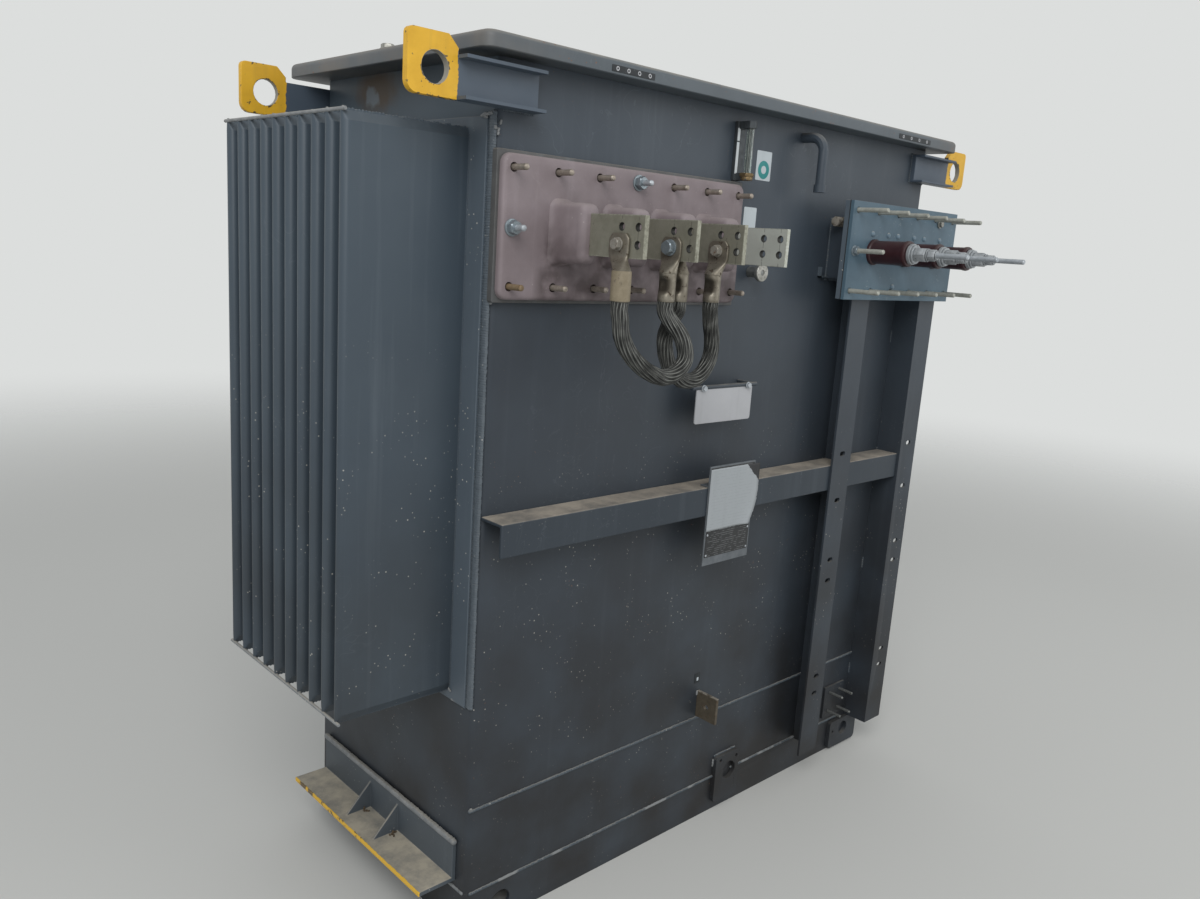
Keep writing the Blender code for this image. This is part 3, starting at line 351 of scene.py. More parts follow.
finePoints = 110


def ropeTree():
    # round ropes laid round a centreline, each point marked with its place along and round its rope
    tree, sockets, given = newTree("ropeLay", Ropes="Int", LayRadius="Float", RopeRadius="Float",
                                   Turns="Float")
    line = addNode(tree, "GeometryNodeMeshToCurve", {0: given["Geometry"]})
    fine = addNode(tree, "GeometryNodeResampleCurve", {"Curve": line, "Count": finePoints}, mode="COUNT")
    run = addNode(tree, "GeometryNodeSplineParameter")
    turn = addNode(tree, "ShaderNodeMath", {0: run.outputs["Factor"], 1: given["Turns"]},
                   operation="MULTIPLY")
    twist = addNode(tree, "ShaderNodeMath", {0: turn, 1: 2 * math.pi}, operation="MULTIPLY")
    laid = addNode(tree, "GeometryNodeSetCurveTilt", {"Curve": fine, "Tilt": twist})
    section = addNode(tree, "GeometryNodeCurvePrimitiveCircle",
                      {"Resolution": 10, "Radius": given["RopeRadius"]})
    part = addNode(tree, "GeometryNodeSplineParameter").outputs["Factor"]
    along, marked = (
        addNode(tree, "GeometryNodeStoreNamedAttribute", {"Geometry": geometry, "Name": name, "Value": value},
                data_type="FLOAT", domain="POINT")
        for geometry, name, value in ((laid, "along", run.outputs["Length"]), (section, "round", part)))
    spots = addNode(tree, "GeometryNodeMeshCircle", {"Vertices": given["Ropes"],
                                                     "Radius": given["LayRadius"]})
    bundle = addNode(tree, "GeometryNodeInstanceOnPoints", {"Points": spots, "Instance": marked})
    real = addNode(tree, "GeometryNodeRealizeInstances", {0: bundle})
    swept = addNode(tree, "GeometryNodeCurveToMesh", {"Curve": along, "Profile Curve": real,
                                                      "Fill Caps": True})
    closeTree(tree, swept, given["Material"])
    return tree, sockets


evenRow, threadedRods, fasteners = rowTree(), rodTree(), fastenerTree()
weldBeads, ropeLay = weldTree(), ropeTree()
print("stage: camera and node trees made")


# Materials
def newMaterial(name, settings):
    # a Principled material with its object coordinates at hand, whole and by axis
    made = bpy.data.materials.new(name)
    made.use_nodes = True
    tree = made.node_tree
    for key, value in settings.items():
        tree.nodes["Principled BSDF"].inputs[key].default_value = value
    place = addNode(tree, "ShaderNodeTexCoord", name="place").outputs["Object"]
    addNode(tree, "ShaderNodeSeparateXYZ", {0: place}, name="axes")
    return made


def wire(made, key, source):
    made.node_tree.links.new(source, made.node_tree.nodes["Principled BSDF"].inputs[key])


def field(made, what):
    # a number over the surface: an axis by its name, a noise by its size in metres, detail and
    # roughness, the distance of another such number from a value, or a node that is there already
    tree = made.node_tree
    if isinstance(what, str):
        return tree.nodes["axes"].outputs[what]
    if not isinstance(what, tuple):
        return what
    if isinstance(what[0], float):
        size, detail, rough = (*what, 0.5)[:3]
        place = tree.nodes["place"].outputs["Object"]
        return addNode(tree, "ShaderNodeTexNoise", {
            "Vector": place, "Scale": 1 / size, "Detail": detail, "Roughness": rough})
    less = addNode(tree, "ShaderNodeMath", {0: field(made, what[0]), 1: what[1]}, operation="SUBTRACT")
    return addNode(tree, "ShaderNodeMath", {0: less}, operation="ABSOLUTE")


def cover(made, *fades):
    # the product of the fades; each has a source, where it starts, where it is full, and its most and
    # least, which are 1 and 0 if they aren't given
    total = None
    for fade in fades:
        if isinstance(fade, tuple):
            what, start, full, most, least = fade + (1.0, 0.0)[len(fade) - 3:]
            fade = addNode(made.node_tree, "ShaderNodeMapRange",
                           {"Value": field(made, what), "From Min": start, "From Max": full,
                            "To Min": least, "To Max": most})
        if total is not None:
            fade = addNode(made.node_tree, "ShaderNodeMath", {0: total, 1: fade}, operation="MULTIPLY")
        total = fade
    return total


def coat(made, code, *fades):
    # one more coat of colour, where all its fades leave any
    under = made.node_tree.nodes["Principled BSDF"].inputs["Base Color"].links[0].from_socket
    laid = addNode(made.node_tree, "ShaderNodeMix", {
        0: cover(made, *fades), 6: under, 7: tone(code)}, data_type="RGBA")
    wire(made, "Base Color", laid.outputs[2])
    return made


def baseCoat(made, look, grain, spread):
    # two near tones in soft clouds; the clouds' own numbers are given back
    soft = cover(made, (grain, 0.5 - spread, 0.5 + spread))
    body = addNode(made.node_tree, "ShaderNodeMix", {
        0: soft, 6: tone(look["base"]), 7: tone(look["shade"])}, data_type="RGBA")
    wire(made, "Base Color", body.outputs[2])
    return soft


def apart(made, first, second):
    # distance from where both numbers are nought
    flat = addNode(made.node_tree, "ShaderNodeCombineXYZ", {0: first, 1: second})
    return addNode(made.node_tree, "ShaderNodeVectorMath", {0: flat}, operation="LENGTH").outputs["Value"]


def turnedTo(made):
    # the way that the surface faces, by axis
    normal = addNode(made.node_tree, "ShaderNodeNewGeometry").outputs["Normal"]
    return addNode(made.node_tree, "ShaderNodeSeparateXYZ", {0: normal}).outputs


slate = {"base": "#3e4750", "shade": "#39414a", "pale": "#7d868d", "cloud": 0.45, "rain": 0.07,
         "scratches": 0.12, "splash": 0.95, "splashTop": 1.15, "dust": 0.75, "dustColour": "#8d8a83",
         "roughness": 0.42}


def enamel(name, **look):
    # sprayed alkyd enamel on rolled steel: soft clouds, a fine orange peel, dust on what faces up
    look = {**slate, **look}
    made = newMaterial(name, {"IOR": 1.5, "Specular IOR Level": 0.4})
    tree = made.node_tree
    place = tree.nodes["place"].outputs["Object"]
    soft = baseCoat(made, look, (look["cloud"], 6, 0.62), 0.16)
    # rain marks, 25 mm apart and long in Z
    drawn = addNode(tree, "ShaderNodeMapping", {"Vector": place, "Scale": (1 / 0.025, 1 / 0.025, 1 / 0.7)})
    rain = addNode(tree, "ShaderNodeTexNoise", {"Vector": drawn, "Scale": 1.0, "Detail": 4,
                                                "Roughness": 0.55})
    coat(made, look["pale"], (rain, 0.55, 0.8, look["rain"]))
    # scratches: thin level lines of a slow noise, kept only in some patches
    slow = addNode(tree, "ShaderNodeTexNoise", {"Vector": place, "Scale": 1 / 0.12, "Detail": 3,
                                                "Distortion": 1.6})
    coat(made, look["pale"], ((slow, 0.5), 0.006, 0.002), ((0.3, 2), 0.56, 0.64, look["scratches"]))
    # splashed dirt: clusters of dots 1 to 2 mm across, fewer close to the ground
    dots = addNode(tree, "ShaderNodeTexVoronoi", {"Vector": place, "Scale": 1 / 0.012, "Randomness": 1.0})
    high = ("Z", look["splashTop"], look["splashTop"] - 0.4, look["splash"])
    coat(made, "#c9c6bd", (dots, 0.15, 0.09), high, ("Z", 0.15, 0.5, 1.0, 0.45), ((0.08, 3), 0.50, 0.60))
    # settled dust
    dust = cover(made, (turnedTo(made)[2], 0.35, 0.9, look["dust"]), ((0.07, 8, 0.7), 0.3, 0.6, 1.0, 0.35))
    coat(made, look["dustColour"], dust)
    sheen = cover(made, (dust, 0.0, 1.0, 0.9, look["roughness"]))
    mixed = addNode(tree, "ShaderNodeMath", {0: soft, 1: 0.12, 2: sheen}, operation="MULTIPLY_ADD")
    wire(made, "Roughness", mixed.outputs[0])
    # orange peel, 3 mm drawn at 5 mm so that it shows, over slow waves of the sheet
    fine = addNode(tree, "ShaderNodeBump", {"Height": field(made, (0.005, 3)), "Strength": 0.08,
                                            "Distance": 0.001})
    waves = addNode(tree, "ShaderNodeBump", {
        "Height": field(made, (0.25, 1)), "Normal": fine, "Strength": 0.25, "Distance": 0.012})
    wire(made, "Normal", waves.outputs[0])
    return made


plated = {"stain": 0.38, "patch": 0.015, "blot": 0.01, "grain": 0.001, "relief": 0.2, "metallic": 0.5,
          "roughness": 0.42}


def metal(name, **look):
    # bare or plated metal: tone patches, fine grain, and tarnish or rust in blots
    look = {**plated, **look}
    made = newMaterial(name, {"Metallic": look["metallic"]})
    tree = made.node_tree
    soft = baseCoat(made, look, (look["patch"], 7, 0.65), 0.15)
    blot = addNode(tree, "ShaderNodeTexNoise", {"Vector": tree.nodes["place"].outputs["Object"],
                                                "Scale": 1 / look["blot"], "Detail": 8, "Roughness": 0.7,
                                                "W": 3.0}, noise_dimensions="4D")
    some = cover(made, (blot, 1 - look["stain"], 1.06 - look["stain"]))
    coat(made, look["stainColour"], some)
    rough = cover(made, (soft, 0.0, 1.0, look["roughness"] + 0.2, look["roughness"]))
    duller = addNode(tree, "ShaderNodeMath", {0: some, 1: 0.25, 2: rough}, operation="MULTIPLY_ADD",
                     use_clamp=True)
    wire(made, "Roughness", duller.outputs[0])
    bump = addNode(tree, "ShaderNodeBump", {
        "Height": field(made, (look["grain"], 4)), "Strength": look["relief"], "Distance": 0.0006})
    wire(made, "Normal", bump.outputs[0])
    return made


def freckles(made, size, share, code):
    # rust that comes through the coat in spots
    return coat(made, code, ((size, 8), 1 - share, 1.01 - share), ((0.16, 2), 0.52, 0.60))


def dustAndShadeFilm(made, low, high, most, code):
    # road dust and painted shade in the lower part of the coat, thinning out upwards
    return coat(made, code, ((0.20, 7), 0.15, 0.62), ("Z", high, low, most))


def tankPaint():
    # slate enamel with road dust and painted shade below, soot with painted shade by the finned corner,
    # painted light on the end above the fins
    made = dustAndShadeFilm(enamel("slateEnamel"), 0.1, 1.55, 0.95, "#252424")
    # darker by the finned corner: soot together with painted shade
    coat(made, "#272c33", ("X", leftX + 0.62, leftX + 0.10), ("Z", 0.80, 1.10, 0.45), ("Z", 1.62, 1.45),
         ((0.16, 5), 0.20, 0.60))
    # a paler coat on the end wall above the fins: painted light where the lid casts its shade
    end = cover(made, ("X", leftX + 0.003, leftX + 0.001))
    coat(made, "#505d67", end, ("Z", 1.64, 1.70, 0.75))
    # burnt brown round a pale rub below the lid
    marks = (
        {"y": 0.250, "z": 1.752, "flat": 2.0, "reach": 0.135, "full": 0.080, "most": 0.85, "code": "#4c3f33"},
        {"y": 0.264, "z": 1.735, "flat": 1.3, "reach": 0.060, "full": 0.048, "most": 0.8, "code": "#6c7983"},
    )
    for mark in marks:
        up = addNode(made.node_tree, "ShaderNodeMath", {
            0: field(made, ("Z", mark["z"])), 1: mark["flat"]}, operation="MULTIPLY")
        away = addNode(made.node_tree, "ShaderNodeMath", {
            0: field(made, (0.03, 4)), 1: 0.06, 2: apart(made, field(made, ("Y", mark["y"])), up)},
            operation="MULTIPLY_ADD")
        coat(made, mark["code"], end, (away, mark["reach"], mark["full"], mark["most"]))
    return freckles(made, 0.006, 0.28, "#6b5140")


def lugPaint():
    # yellow gloss enamel brushed over the slate coat, its border ragged and its edges chipped to the steel
    made = enamel("chippedYellowEnamel", base="#dfae2c", shade="#d0a028", pale="#a08238", scratches=0.3,
                  cloud=0.06, splash=0, dust=0.25, rain=0.3)
    tree = made.node_tree
    side, head, foot, hole = 0.951, 1.799, 1.695, (0.893, 1.741)
    away = field(made, ("X", middleX))
    fromHole = apart(made, field(made, (away, hole[0])), field(made, ("Z", hole[1])))
    # chips start 5 mm from an edge, and the outer edge is hardly chipped
    close = None
    for what, at, way in ((away, side, 1), ("Z", head, 1), ("Z", foot, -1), (fromHole, 0.027, -1)):
        edge = cover(made, (what, at - way * 0.0055, at - way * 0.0005))
        close = addNode(tree, "ShaderNodeMath", {0: close, 1: edge}, operation="MAXIMUM") if close else edge
    worn = addNode(tree, "ShaderNodeMath", {0: close, 1: 0.17, 2: field(made, (0.009, 6))},
                   operation="MULTIPLY_ADD")
    coat(made, "#4f4434", (worn, 0.685, 0.715))
    coat(made, "#8f8a7e", (fromHole, 0.0276, 0.0271))
    # the channel, with flanges that stand out past the plate, keeps the slate coat
    rag = addNode(tree, "ShaderNodeMath", {0: field(made, (0.012, 4)), 1: 0.010, 2: away},
                  operation="MULTIPLY_ADD")
    plateFace = (backY - frontY) / 2 + 0.0148
    proud = cover(made, (("Y", middleY), plateFace, plateFace + 0.001, 0.03))
    border = addNode(tree, "ShaderNodeMath", {0: rag, 1: proud}, operation="SUBTRACT")
    return coat(made, "#4a5561", (border, 0.8525, 0.8515))


def castPaint():
    # cast epoxy resin, matt and even, with grime and painted shade in the hollow round each boss and below
    # it, darker lower down
    made = enamel("castEpoxyResin", base="#857a7d", shade="#7a6f71", pale="#a1979a", cloud=0.1, rain=0.3,
                  splash=0.2, splashTop=1.9, dust=0.4, dustColour="#a59b98", roughness=0.5)
    tree = made.node_tree
    first, _, level = middleOf("lv_bar_1")
    pitch = (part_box("lv_bar_4")[0].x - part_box("lv_bar_1")[0].x) / 3
    shifted = addNode(tree, "ShaderNodeMath", {0: field(made, "X"), 1: first}, operation="SUBTRACT")
    swing = addNode(tree, "ShaderNodeMath", {0: shifted, 1: pitch / 2}, operation="PINGPONG")
    aside = addNode(tree, "ShaderNodeMath", {0: swing, 1: 0.032}, operation="SUBTRACT")
    above = addNode(tree, "ShaderNodeMath", {0: field(made, ("Z", level)), 1: 0.064}, operation="SUBTRACT")
    edge = addNode(tree, "ShaderNodeMath", {0: aside, 1: above}, operation="MAXIMUM")
    lower = cover(made, ("Z", level + 0.05, level - 0.04, 1.1))
    lower = addNode(tree, "ShaderNodeMath", {0: lower, 1: 0.25}, operation="MAXIMUM")
    # grime and painted shade round each boss's root, heavier below the bosses and lower on the plate
    ring = cover(made, (edge, 0.018, 0.0, 0.95), (edge, -0.014, -0.004), lower)
    low = cover(made, ("Z", level + 0.02, level - 0.08, 0.75))
    dark = addNode(tree, "ShaderNodeMath", {0: ring, 1: low}, operation="MAXIMUM")
    return coat(made, "#453b3b", ((0.045, 6), 0.32, 0.62), dark, ("X", first - 0.064, first - 0.040))


def barMetal():
    # dull tinned copper, grey-green: the last bar paler, rims rubbed, painted shade in the holes and scribed
    # lines
    made = metal("dullTinnedCopper", base="#8c8a7d", shade="#7a786b", stainColour="#5f5a4d", patch=0.03,
                 blot=0.02, grain=0.0015, relief=0.35)
    tree = made.node_tree
    level = middleOf("lv_bar_1").z
    near = field(made, (("Y", boltY - 0.021), 0.021))
    away = apart(made, near, field(made, (("Z", level + 0.0015), 0.0155)))
    last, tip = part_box("lv_bar_4")[0].x - 0.01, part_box("lv_bar_4")[0].y
    coat(made, "#c6cac3", ("X", last, last + 0.002, 0.8))
    rim = addNode(tree, "ShaderNodeMath", {0: cover(made, (("Z", level), 0.0358, 0.0366, 0.6)),
                                           1: cover(made, ("Y", tip + 0.0022, tip + 0.0014, 0.6))},
                  operation="MAXIMUM")
    coat(made, "#a3a495", rim, ((0.006, 4), 0.36, 0.56))
    coat(made, "#35362f", (near, 0.0007, 0.0003), ((0.008, 2), 0.44, 0.5, 0.8), (away, 0.026, 0.024))
    # painted shade inside the bolt holes
    return coat(made, "#22221f", (away, 0.0082, 0.0071))


def lugMetal():
    # tinned cable lugs, brown with handling, painted shade in the crimps on their dented side
    made = metal("tinnedLugCopper", base="#8d877b", shade="#756e62", stain=0.44, stainColour="#4d4338",
                 patch=0.02, blot=0.015, grain=0.002, relief=0.4, metallic=0.75, roughness=0.34)
    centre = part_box("cable_lug_3")[1].z - 0.089
    # painted shade in the crimp hollows
    return coat(made, "#3a342c", (("Z", centre), 0.017, 0.010), (turnedTo(made)[0], -0.2, -0.75, 0.75))


def footPaint():
    # slate enamel under thick dust, a yellow hazard stripe along the outer edge worn through at the back
    made = enamel("dustyFootEnamel", base="#4f565c", shade="#495056", dust=0.97, dustColour="#aba392")
    tree = made.node_tree
    edge = addNode(tree, "ShaderNodeMath", {
        0: field(made, (0.01, 4)), 1: 0.006, 2: field(made, ("X", middleX))}, operation="MULTIPLY_ADD")
    worn = addNode(tree, "ShaderNodeMath", {
        0: field(made, (0.02, 7)), 1: cover(made, ("Y", 0.0, 0.42, 0.20))}, operation="ADD")
    coat(made, "#6d5d43", (edge, 0.8426, 0.8432))
    return coat(made, "#dfb23a", (edge, 0.8426, 0.8432), (worn, 0.70, 0.66))


def foil(name, code, roughness, dirt):
    # printed vinyl: even colour under a thin veil of dirt
    return enamel(name, base=code, shade=code, pale=dirt, cloud=0.05, rain=0.25, scratches=0.3, splash=0.3,
                  splashTop=1.9, dust=0.2, roughness=roughness)


def ruled(made, code, pitch, thin, share, left, right):
    # faint rules of a blank form, between two ends, broken up along their length
    tree = made.node_tree
    rows = addNode(tree, "ShaderNodeMath", {0: field(made, "Z"), 1: pitch}, operation="DIVIDE")
    part = addNode(tree, "ShaderNodeMath", {0: rows}, operation="FRACT")
    drawn = addNode(tree, "ShaderNodeMapping", {
        "Vector": tree.nodes["place"].outputs["Object"], "Scale": (1 / 0.012, 1, 1 / pitch)})
    runs = addNode(tree, "ShaderNodeTexNoise", {"Vector": drawn, "Scale": 1.0, "Detail": 1})
    return coat(made, code, ("X", left, left + 0.001), ("X", right, right - 0.001), (part, thin, thin * 0.8),
                (runs, 0.46, 0.50, share))


def sheetPaper():
    # white laminated sheet, its torn upper right corner showing the dark plate's glue
    made = ruled(foil("laminatedSheet", "#9da2a5", 0.4, "#7f8282"), "#8b9093", 0.0075, 0.16, 0.55,
                 leftX + 0.606, leftX + 0.752)
    total = addNode(made.node_tree, "ShaderNodeMath", {0: field(made, "X"), 1: field(made, "Z")},
                    operation="ADD")
    corner = addNode(made.node_tree, "ShaderNodeMath", {
        0: field(made, (0.008, 4)), 1: 0.012, 2: total}, operation="MULTIPLY_ADD")
    return coat(made, "#2b2c2e", (corner, leftX + 1.715, leftX + 1.716))


def glass():
    # drawn glass tube: clear, with a thin smear of oil
    made = newMaterial("drawnGlass", {"Transmission Weight": 1.0, "IOR": 1.5, "Base Color": tone("#e6ece8")})
    wire(made, "Roughness", cover(made, ((0.02, 4), 0.4, 0.7, 0.25, 0.03)).outputs[0])
    return made


def ropeStrands():
    # weathered tinned copper rope: wires about 1.2 mm across, laid at a slant on every rope
    made = newMaterial("weatheredTinnedRope", {"Metallic": 0.5, "Roughness": 0.5})
    tree = made.node_tree
    along, across = (addNode(tree, "ShaderNodeAttribute", attribute_name=key).outputs["Fac"]
                     for key in ("along", "round"))
    lay = addNode(tree, "ShaderNodeMath", {0: along, 1: 2 * math.pi / 0.040}, operation="MULTIPLY")
    part = addNode(tree, "ShaderNodeMath", {0: across, 1: 2 * math.pi * 5, 2: lay}, operation="MULTIPLY_ADD")
    wave = addNode(tree, "ShaderNodeMath", {0: part}, operation="SINE")
    baseCoat(made, {"base": "#767773", "shade": "#51524f"}, (0.02, 6), 0.15)
    # painted shade in the grooves between the wires
    coat(made, "#1f2020", (wave, 1.0, -1.0))
    bump = addNode(tree, "ShaderNodeBump", {
        "Height": cover(made, (wave, -1.0, 1.0)), "Strength": 0.8, "Distance": 0.0008})
    wire(made, "Normal", bump.outputs[0])
    return made


# Enamels: the tank's slate coat, and what differs on other pieces
tankEnamel = tankPaint()
# rails: darker below, a thick crust of dust on top
railEnamel = enamel("dustyRailEnamel", base="#323a42", shade="#2e363e", splash=0.2, dust=0.97,
                    dustColour="#a0978a")
# fins: bluer and cleaner, splashed up to half their height
finEnamel = enamel("slateFinEnamel", base="#455059", shade="#3f4a54", rain=0.16, splash=0.9, dust=0.35,
                   splashTop=1.3)
# darker towards the bottom: road dust and painted shade
dustAndShadeFilm(finEnamel, 0.5, 1.4, 0.6, "#2b2c2d")
# frames: a paler copy of the slate, painted light on the shaded frame by the fins, shared by the high-voltage
# frame
stripEnamel = enamel("slateFrameEnamel", base="#59636c", shade="#515b64", rain=0.16, splashTop=1.9)
# lid: grey with dust baked on towards its two ends, rust in spots
lidEnamel = enamel("dustyLidEnamel", base="#565e64", shade="#4e555a", dust=0.9, dustColour="#8f8b83")
coat(lidEnamel, "#6f6a64", ((0.09, 7), 0.25, 0.60), (("X", middleX), 0.62, 0.82, 0.75))
freckles(lidEnamel, 0.008, 0.33, "#7c5233")
# high-voltage plate: blue-grey, in small clouds; its bumps a paler, dustier copy, a painted highlight with
# dust
plateEnamel = enamel("blueGreyEnamel", base="#526977", shade="#4a5f6c", cloud=0.12, splash=0.3, splashTop=1.9)
bumpEnamel = enamel("paleBlueEnamel", base="#6d8290", shade="#627683", cloud=0.02, splash=0.3,
                    splashTop=1.9, dust=0.9, dustColour="#a8a79f")
footEnamel = footPaint()
# welds: slate with the lower seam rubbed pale in places
weldEnamel = enamel("weldBeadEnamel", base="#4d565e", shade="#434c53", cloud=0.03, dust=0.8)
coat(weldEnamel, "#8a8c8c", ((0.05, 4), 0.50, 0.58, 0.8), ("Z", 0.16, 0.13))
# low-voltage frame: sooty brown-grey
frameEnamel = enamel("sootyFrameEnamel", base="#565655", shade="#4b4b4b", cloud=0.04, rain=0.3, dust=0.85,
                     dustColour="#8e877c")
# corner welds: paler and mottled, dust with a painted highlight on the rounded corner
bandEnamel = enamel("rippledWeldEnamel", base="#5b636a", shade="#515960", cloud=0.02, rain=0.2, splashTop=1.9,
                    splash=0.9, dust=0.5)
# pale welds, ties and spatter: dust over a paler copy of the slate, a painted highlight on the beads
paleWeld = enamel("dustyHighlitWeldEnamel", base="#868889", shade="#727577", cloud=0.02, rain=0.3, dust=0.6,
                  dustColour="#a39d90")
lugEnamel = lugPaint()
castResin = castPaint()
# bushings: glossy red-brown resin
redResin = enamel("redBrownResin", base="#371c20", shade="#2b1518", pale="#7a5a58", cloud=0.05, rain=0.1,
                  splash=0.1, dust=0.2, dustColour="#6c5a58", roughness=0.3)
# sign: off-white enamel, a little glossy
whiteEnamel = enamel("whiteEnamelSheet", base="#b1b2b5", shade="#a8a9ac", pale="#86888a", cloud=0.15,
                     rain=0.25, splash=0.4, splashTop=1.6, dust=0.3, scratches=0.3, roughness=0.35)

# Foils and plates, all without words
scaleEnamel = foil("whiteScaleEnamel", "#d3d8da", 0.35, "#a5abad")
whiteFoil = foil("whiteVinyl", "#b7bfc3", 0.45, "#8d9497")
tealFoil = foil("tealVinyl", "#23807f", 0.45, "#6f9b9b")
blackFoil = foil("blackVinyl", "#24282b", 0.5, "#5d6266")
blackPlate = ruled(foil("blackAnodisedPlate", "#2c2d2e", 0.45, "#55575a"), "#6e7072", 0.0050, 0.30, 0.8,
                   leftX + 0.604, leftX + 0.748)
paperFoil = sheetPaper()
clearGlass = glass()

# Metals, from clean zinc to rust
tinnedCopper, tinnedLug, ropeMetal = barMetal(), lugMetal(), ropeStrands()
# clean grey zinc, with a soft shine
zincPlate = metal("zincPlatedSteel", base="#a9a8a2", shade="#8d8c86", stain=0.36, stainColour="#6f5f4c",
                  blot=0.012, metallic=0.75, roughness=0.34)
# zinc with a beige or an amber cast, duller
beigeZinc = metal("yellowedZincSteel", base="#aca297", shade="#8f867b", stainColour="#6e6150", patch=0.012,
                  metallic=0.6, roughness=0.38)
amberZinc = metal("amberZincSteel", base="#8d7a5f", shade="#7a6850", stain=0.44, stainColour="#6b5238",
                  patch=0.01, relief=0.4, metallic=0.3, roughness=0.45)
# newer zinc, with a blue cast or bright
blueZinc = metal("blueZincSteel", base="#939da3", shade="#7b858b", stain=0.34, stainColour="#5d6064",
                 patch=0.012, metallic=0.7, roughness=0.33)
brightZinc = metal("brightZincSteel", base="#b9bec3", shade="#a0a6ab", stain=0.34, stainColour="#6e6c69",
                   relief=0.15, roughness=0.4)
# matt zinc, chalky
greyZinc = metal("mattZincSteel", base="#b3b4ab", shade="#989991", stain=0.36, stainColour="#6c6a60",
                 metallic=0.3, roughness=0.45)
# zinc gone to dark pits, and to rust
pittedZinc = metal("pittedZincSteel", base="#aaaeb1", shade="#8c9093", stain=0.41, stainColour="#5b5d5f",
                   patch=0.012)
rustyZinc = metal("rustyZincSteel", base="#97948c", shade="#827c73", stain=0.44, stainColour="#6a5546",
                  patch=0.01, relief=0.5, roughness=0.5)
# turned and cast fittings: dark, plain and brass
darkSteel = metal("darkFittingSteel", base="#4a4f52", shade="#3b3f42", stainColour="#565049", relief=0.25,
                  metallic=0.4)
gaugeSteel = metal("dullFittingSteel", base="#8b8d8b", shade="#6f7170", stain=0.4, stainColour="#4b4842",
                   relief=0.25, metallic=0.7, roughness=0.4)
brass = metal("dullBrass", base="#8a7656", shade="#73624a", stain=0.4, stainColour="#4d4633", relief=0.25,
              metallic=0.8, roughness=0.4)
# rolled sheet, broad and even
sheetSteel = metal("rolledSheetSteel", base="#70757a", shade="#5f6468", stain=0.36, stainColour="#54504a",
                   patch=0.04, blot=0.02, relief=0.15, metallic=0.4, roughness=0.45)
# earth plate: brown weathered steel, with a painted highlight along its upper edge
earthSteel = metal("weatheredEarthSteel", base="#5f574a", shade="#4d463b", stain=0.42, stainColour="#574636",
                   patch=0.02, blot=0.02, relief=0.3, metallic=0.3, roughness=0.5)
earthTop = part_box("earth_terminal")[1].z
coat(earthSteel, "#9a948a", ("Z", earthTop - 0.0022, earthTop - 0.0012), ((0.012, 5), 0.36, 0.50, 0.8))

# Neither paint nor metal, with the same patches and blots: heat-shrunk sleeve, rubber, dried earth
beigeSleeve = metal("beigeSleeve", base="#867b66", shade="#756b57", stain=0.42, stainColour="#665c50",
                    patch=0.02, blot=0.02, grain=0.002, relief=0.3, metallic=0.0, roughness=0.55)
rubber = metal("nitrileRubber", base="#1f2122", shade="#2a2c2d", stain=0.4, stainColour="#3d3c39", patch=0.02,
               grain=0.002, metallic=0.0, roughness=0.7)
gritEarth = metal("dryEarthGrit", base="#5d4f3d", shade="#463a2c", stain=0.4, stainColour="#7b6b53",
                  patch=0.004, blot=0.005, relief=0.6, metallic=0.0, roughness=0.9)
print("stage: materials made")

# Braids, on the same routes as their solids, from each first lug's mouth
braids = {
    "radius": 0.016,
    "points": 26,
    "lead": 0.014,
    "left": (
        (0.001, -0.003, -0.030), (0.006, -0.007, -0.064), (0.027, -0.011, -0.095), (0.063, -0.015, -0.122),
        (0.108, -0.018, -0.137), (0.143, -0.021, -0.127), (0.161, -0.022, -0.101), (0.154, -0.016, -0.065),
        (0.141, 0.008, -0.032),
    ),
    "right": (
        (-0.007, 0.006, -0.034), (-0.016, 0.011, -0.062), (-0.010, 0.015, -0.094), (0.012, 0.017, -0.132),
        (0.047, 0.017, -0.156), (0.088, 0.015, -0.154), (0.114, 0.011, -0.125), (0.117, 0.006, -0.086),
        (0.100, 0.000, -0.040),
    ),
    # the outer ropes, then the core: how many, how far from the middle, how thick
    "ropes": ((11, 0.0116, 0.0043), (4, 0.0045, 0.0048)),
    "turns": 0.9,
}
lugs = {
    "barrel": 0.0165,
    "palmRise": 0.020,
    "shift": {1: 0.025, 2: 0.009, 3: 0.0, 4: 0.003},
    "side": {1: -1, 2: -1, 3: 1, 4: -1},
}
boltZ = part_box("cable_lug_3")[1].z - lugs["palmRise"]


def lugMouth(number):
    low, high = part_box(f"cable_lug_{number}")
    axis = low.x + lugs["barrel"] if lugs["side"][number] < 0 else high.x - lugs["barrel"]
    return np.array((axis, boltY - lugs["shift"][number], low.z - 0.0003))


def smoothRoute(given, count):
    # a smooth curve through the given points, as even points
    padded = np.vstack([2 * given[0] - given[1], given, 2 * given[-1] - given[-2]])
    fine = []
    for a, b, c, d in zip(padded, padded[1:], padded[2:], padded[3:]):
        for t in np.linspace(0, 1, 20, endpoint=False):
            bend = (2 * a - 5 * b + 4 * c - d) * t**2 + (3 * b - a - 3 * c + d) * t**3
            fine.append((2 * b + (c - a) * t + bend) / 2)
    fine = np.array(fine + [given[-1]])
    run = np.concatenate([[0], np.cumsum(np.linalg.norm(np.diff(fine, axis=0), axis=1))])
    even = np.linspace(0, run[-1], count)
    return np.column_stack([np.interp(even, run, fine[:, k]) for k in range(3)])


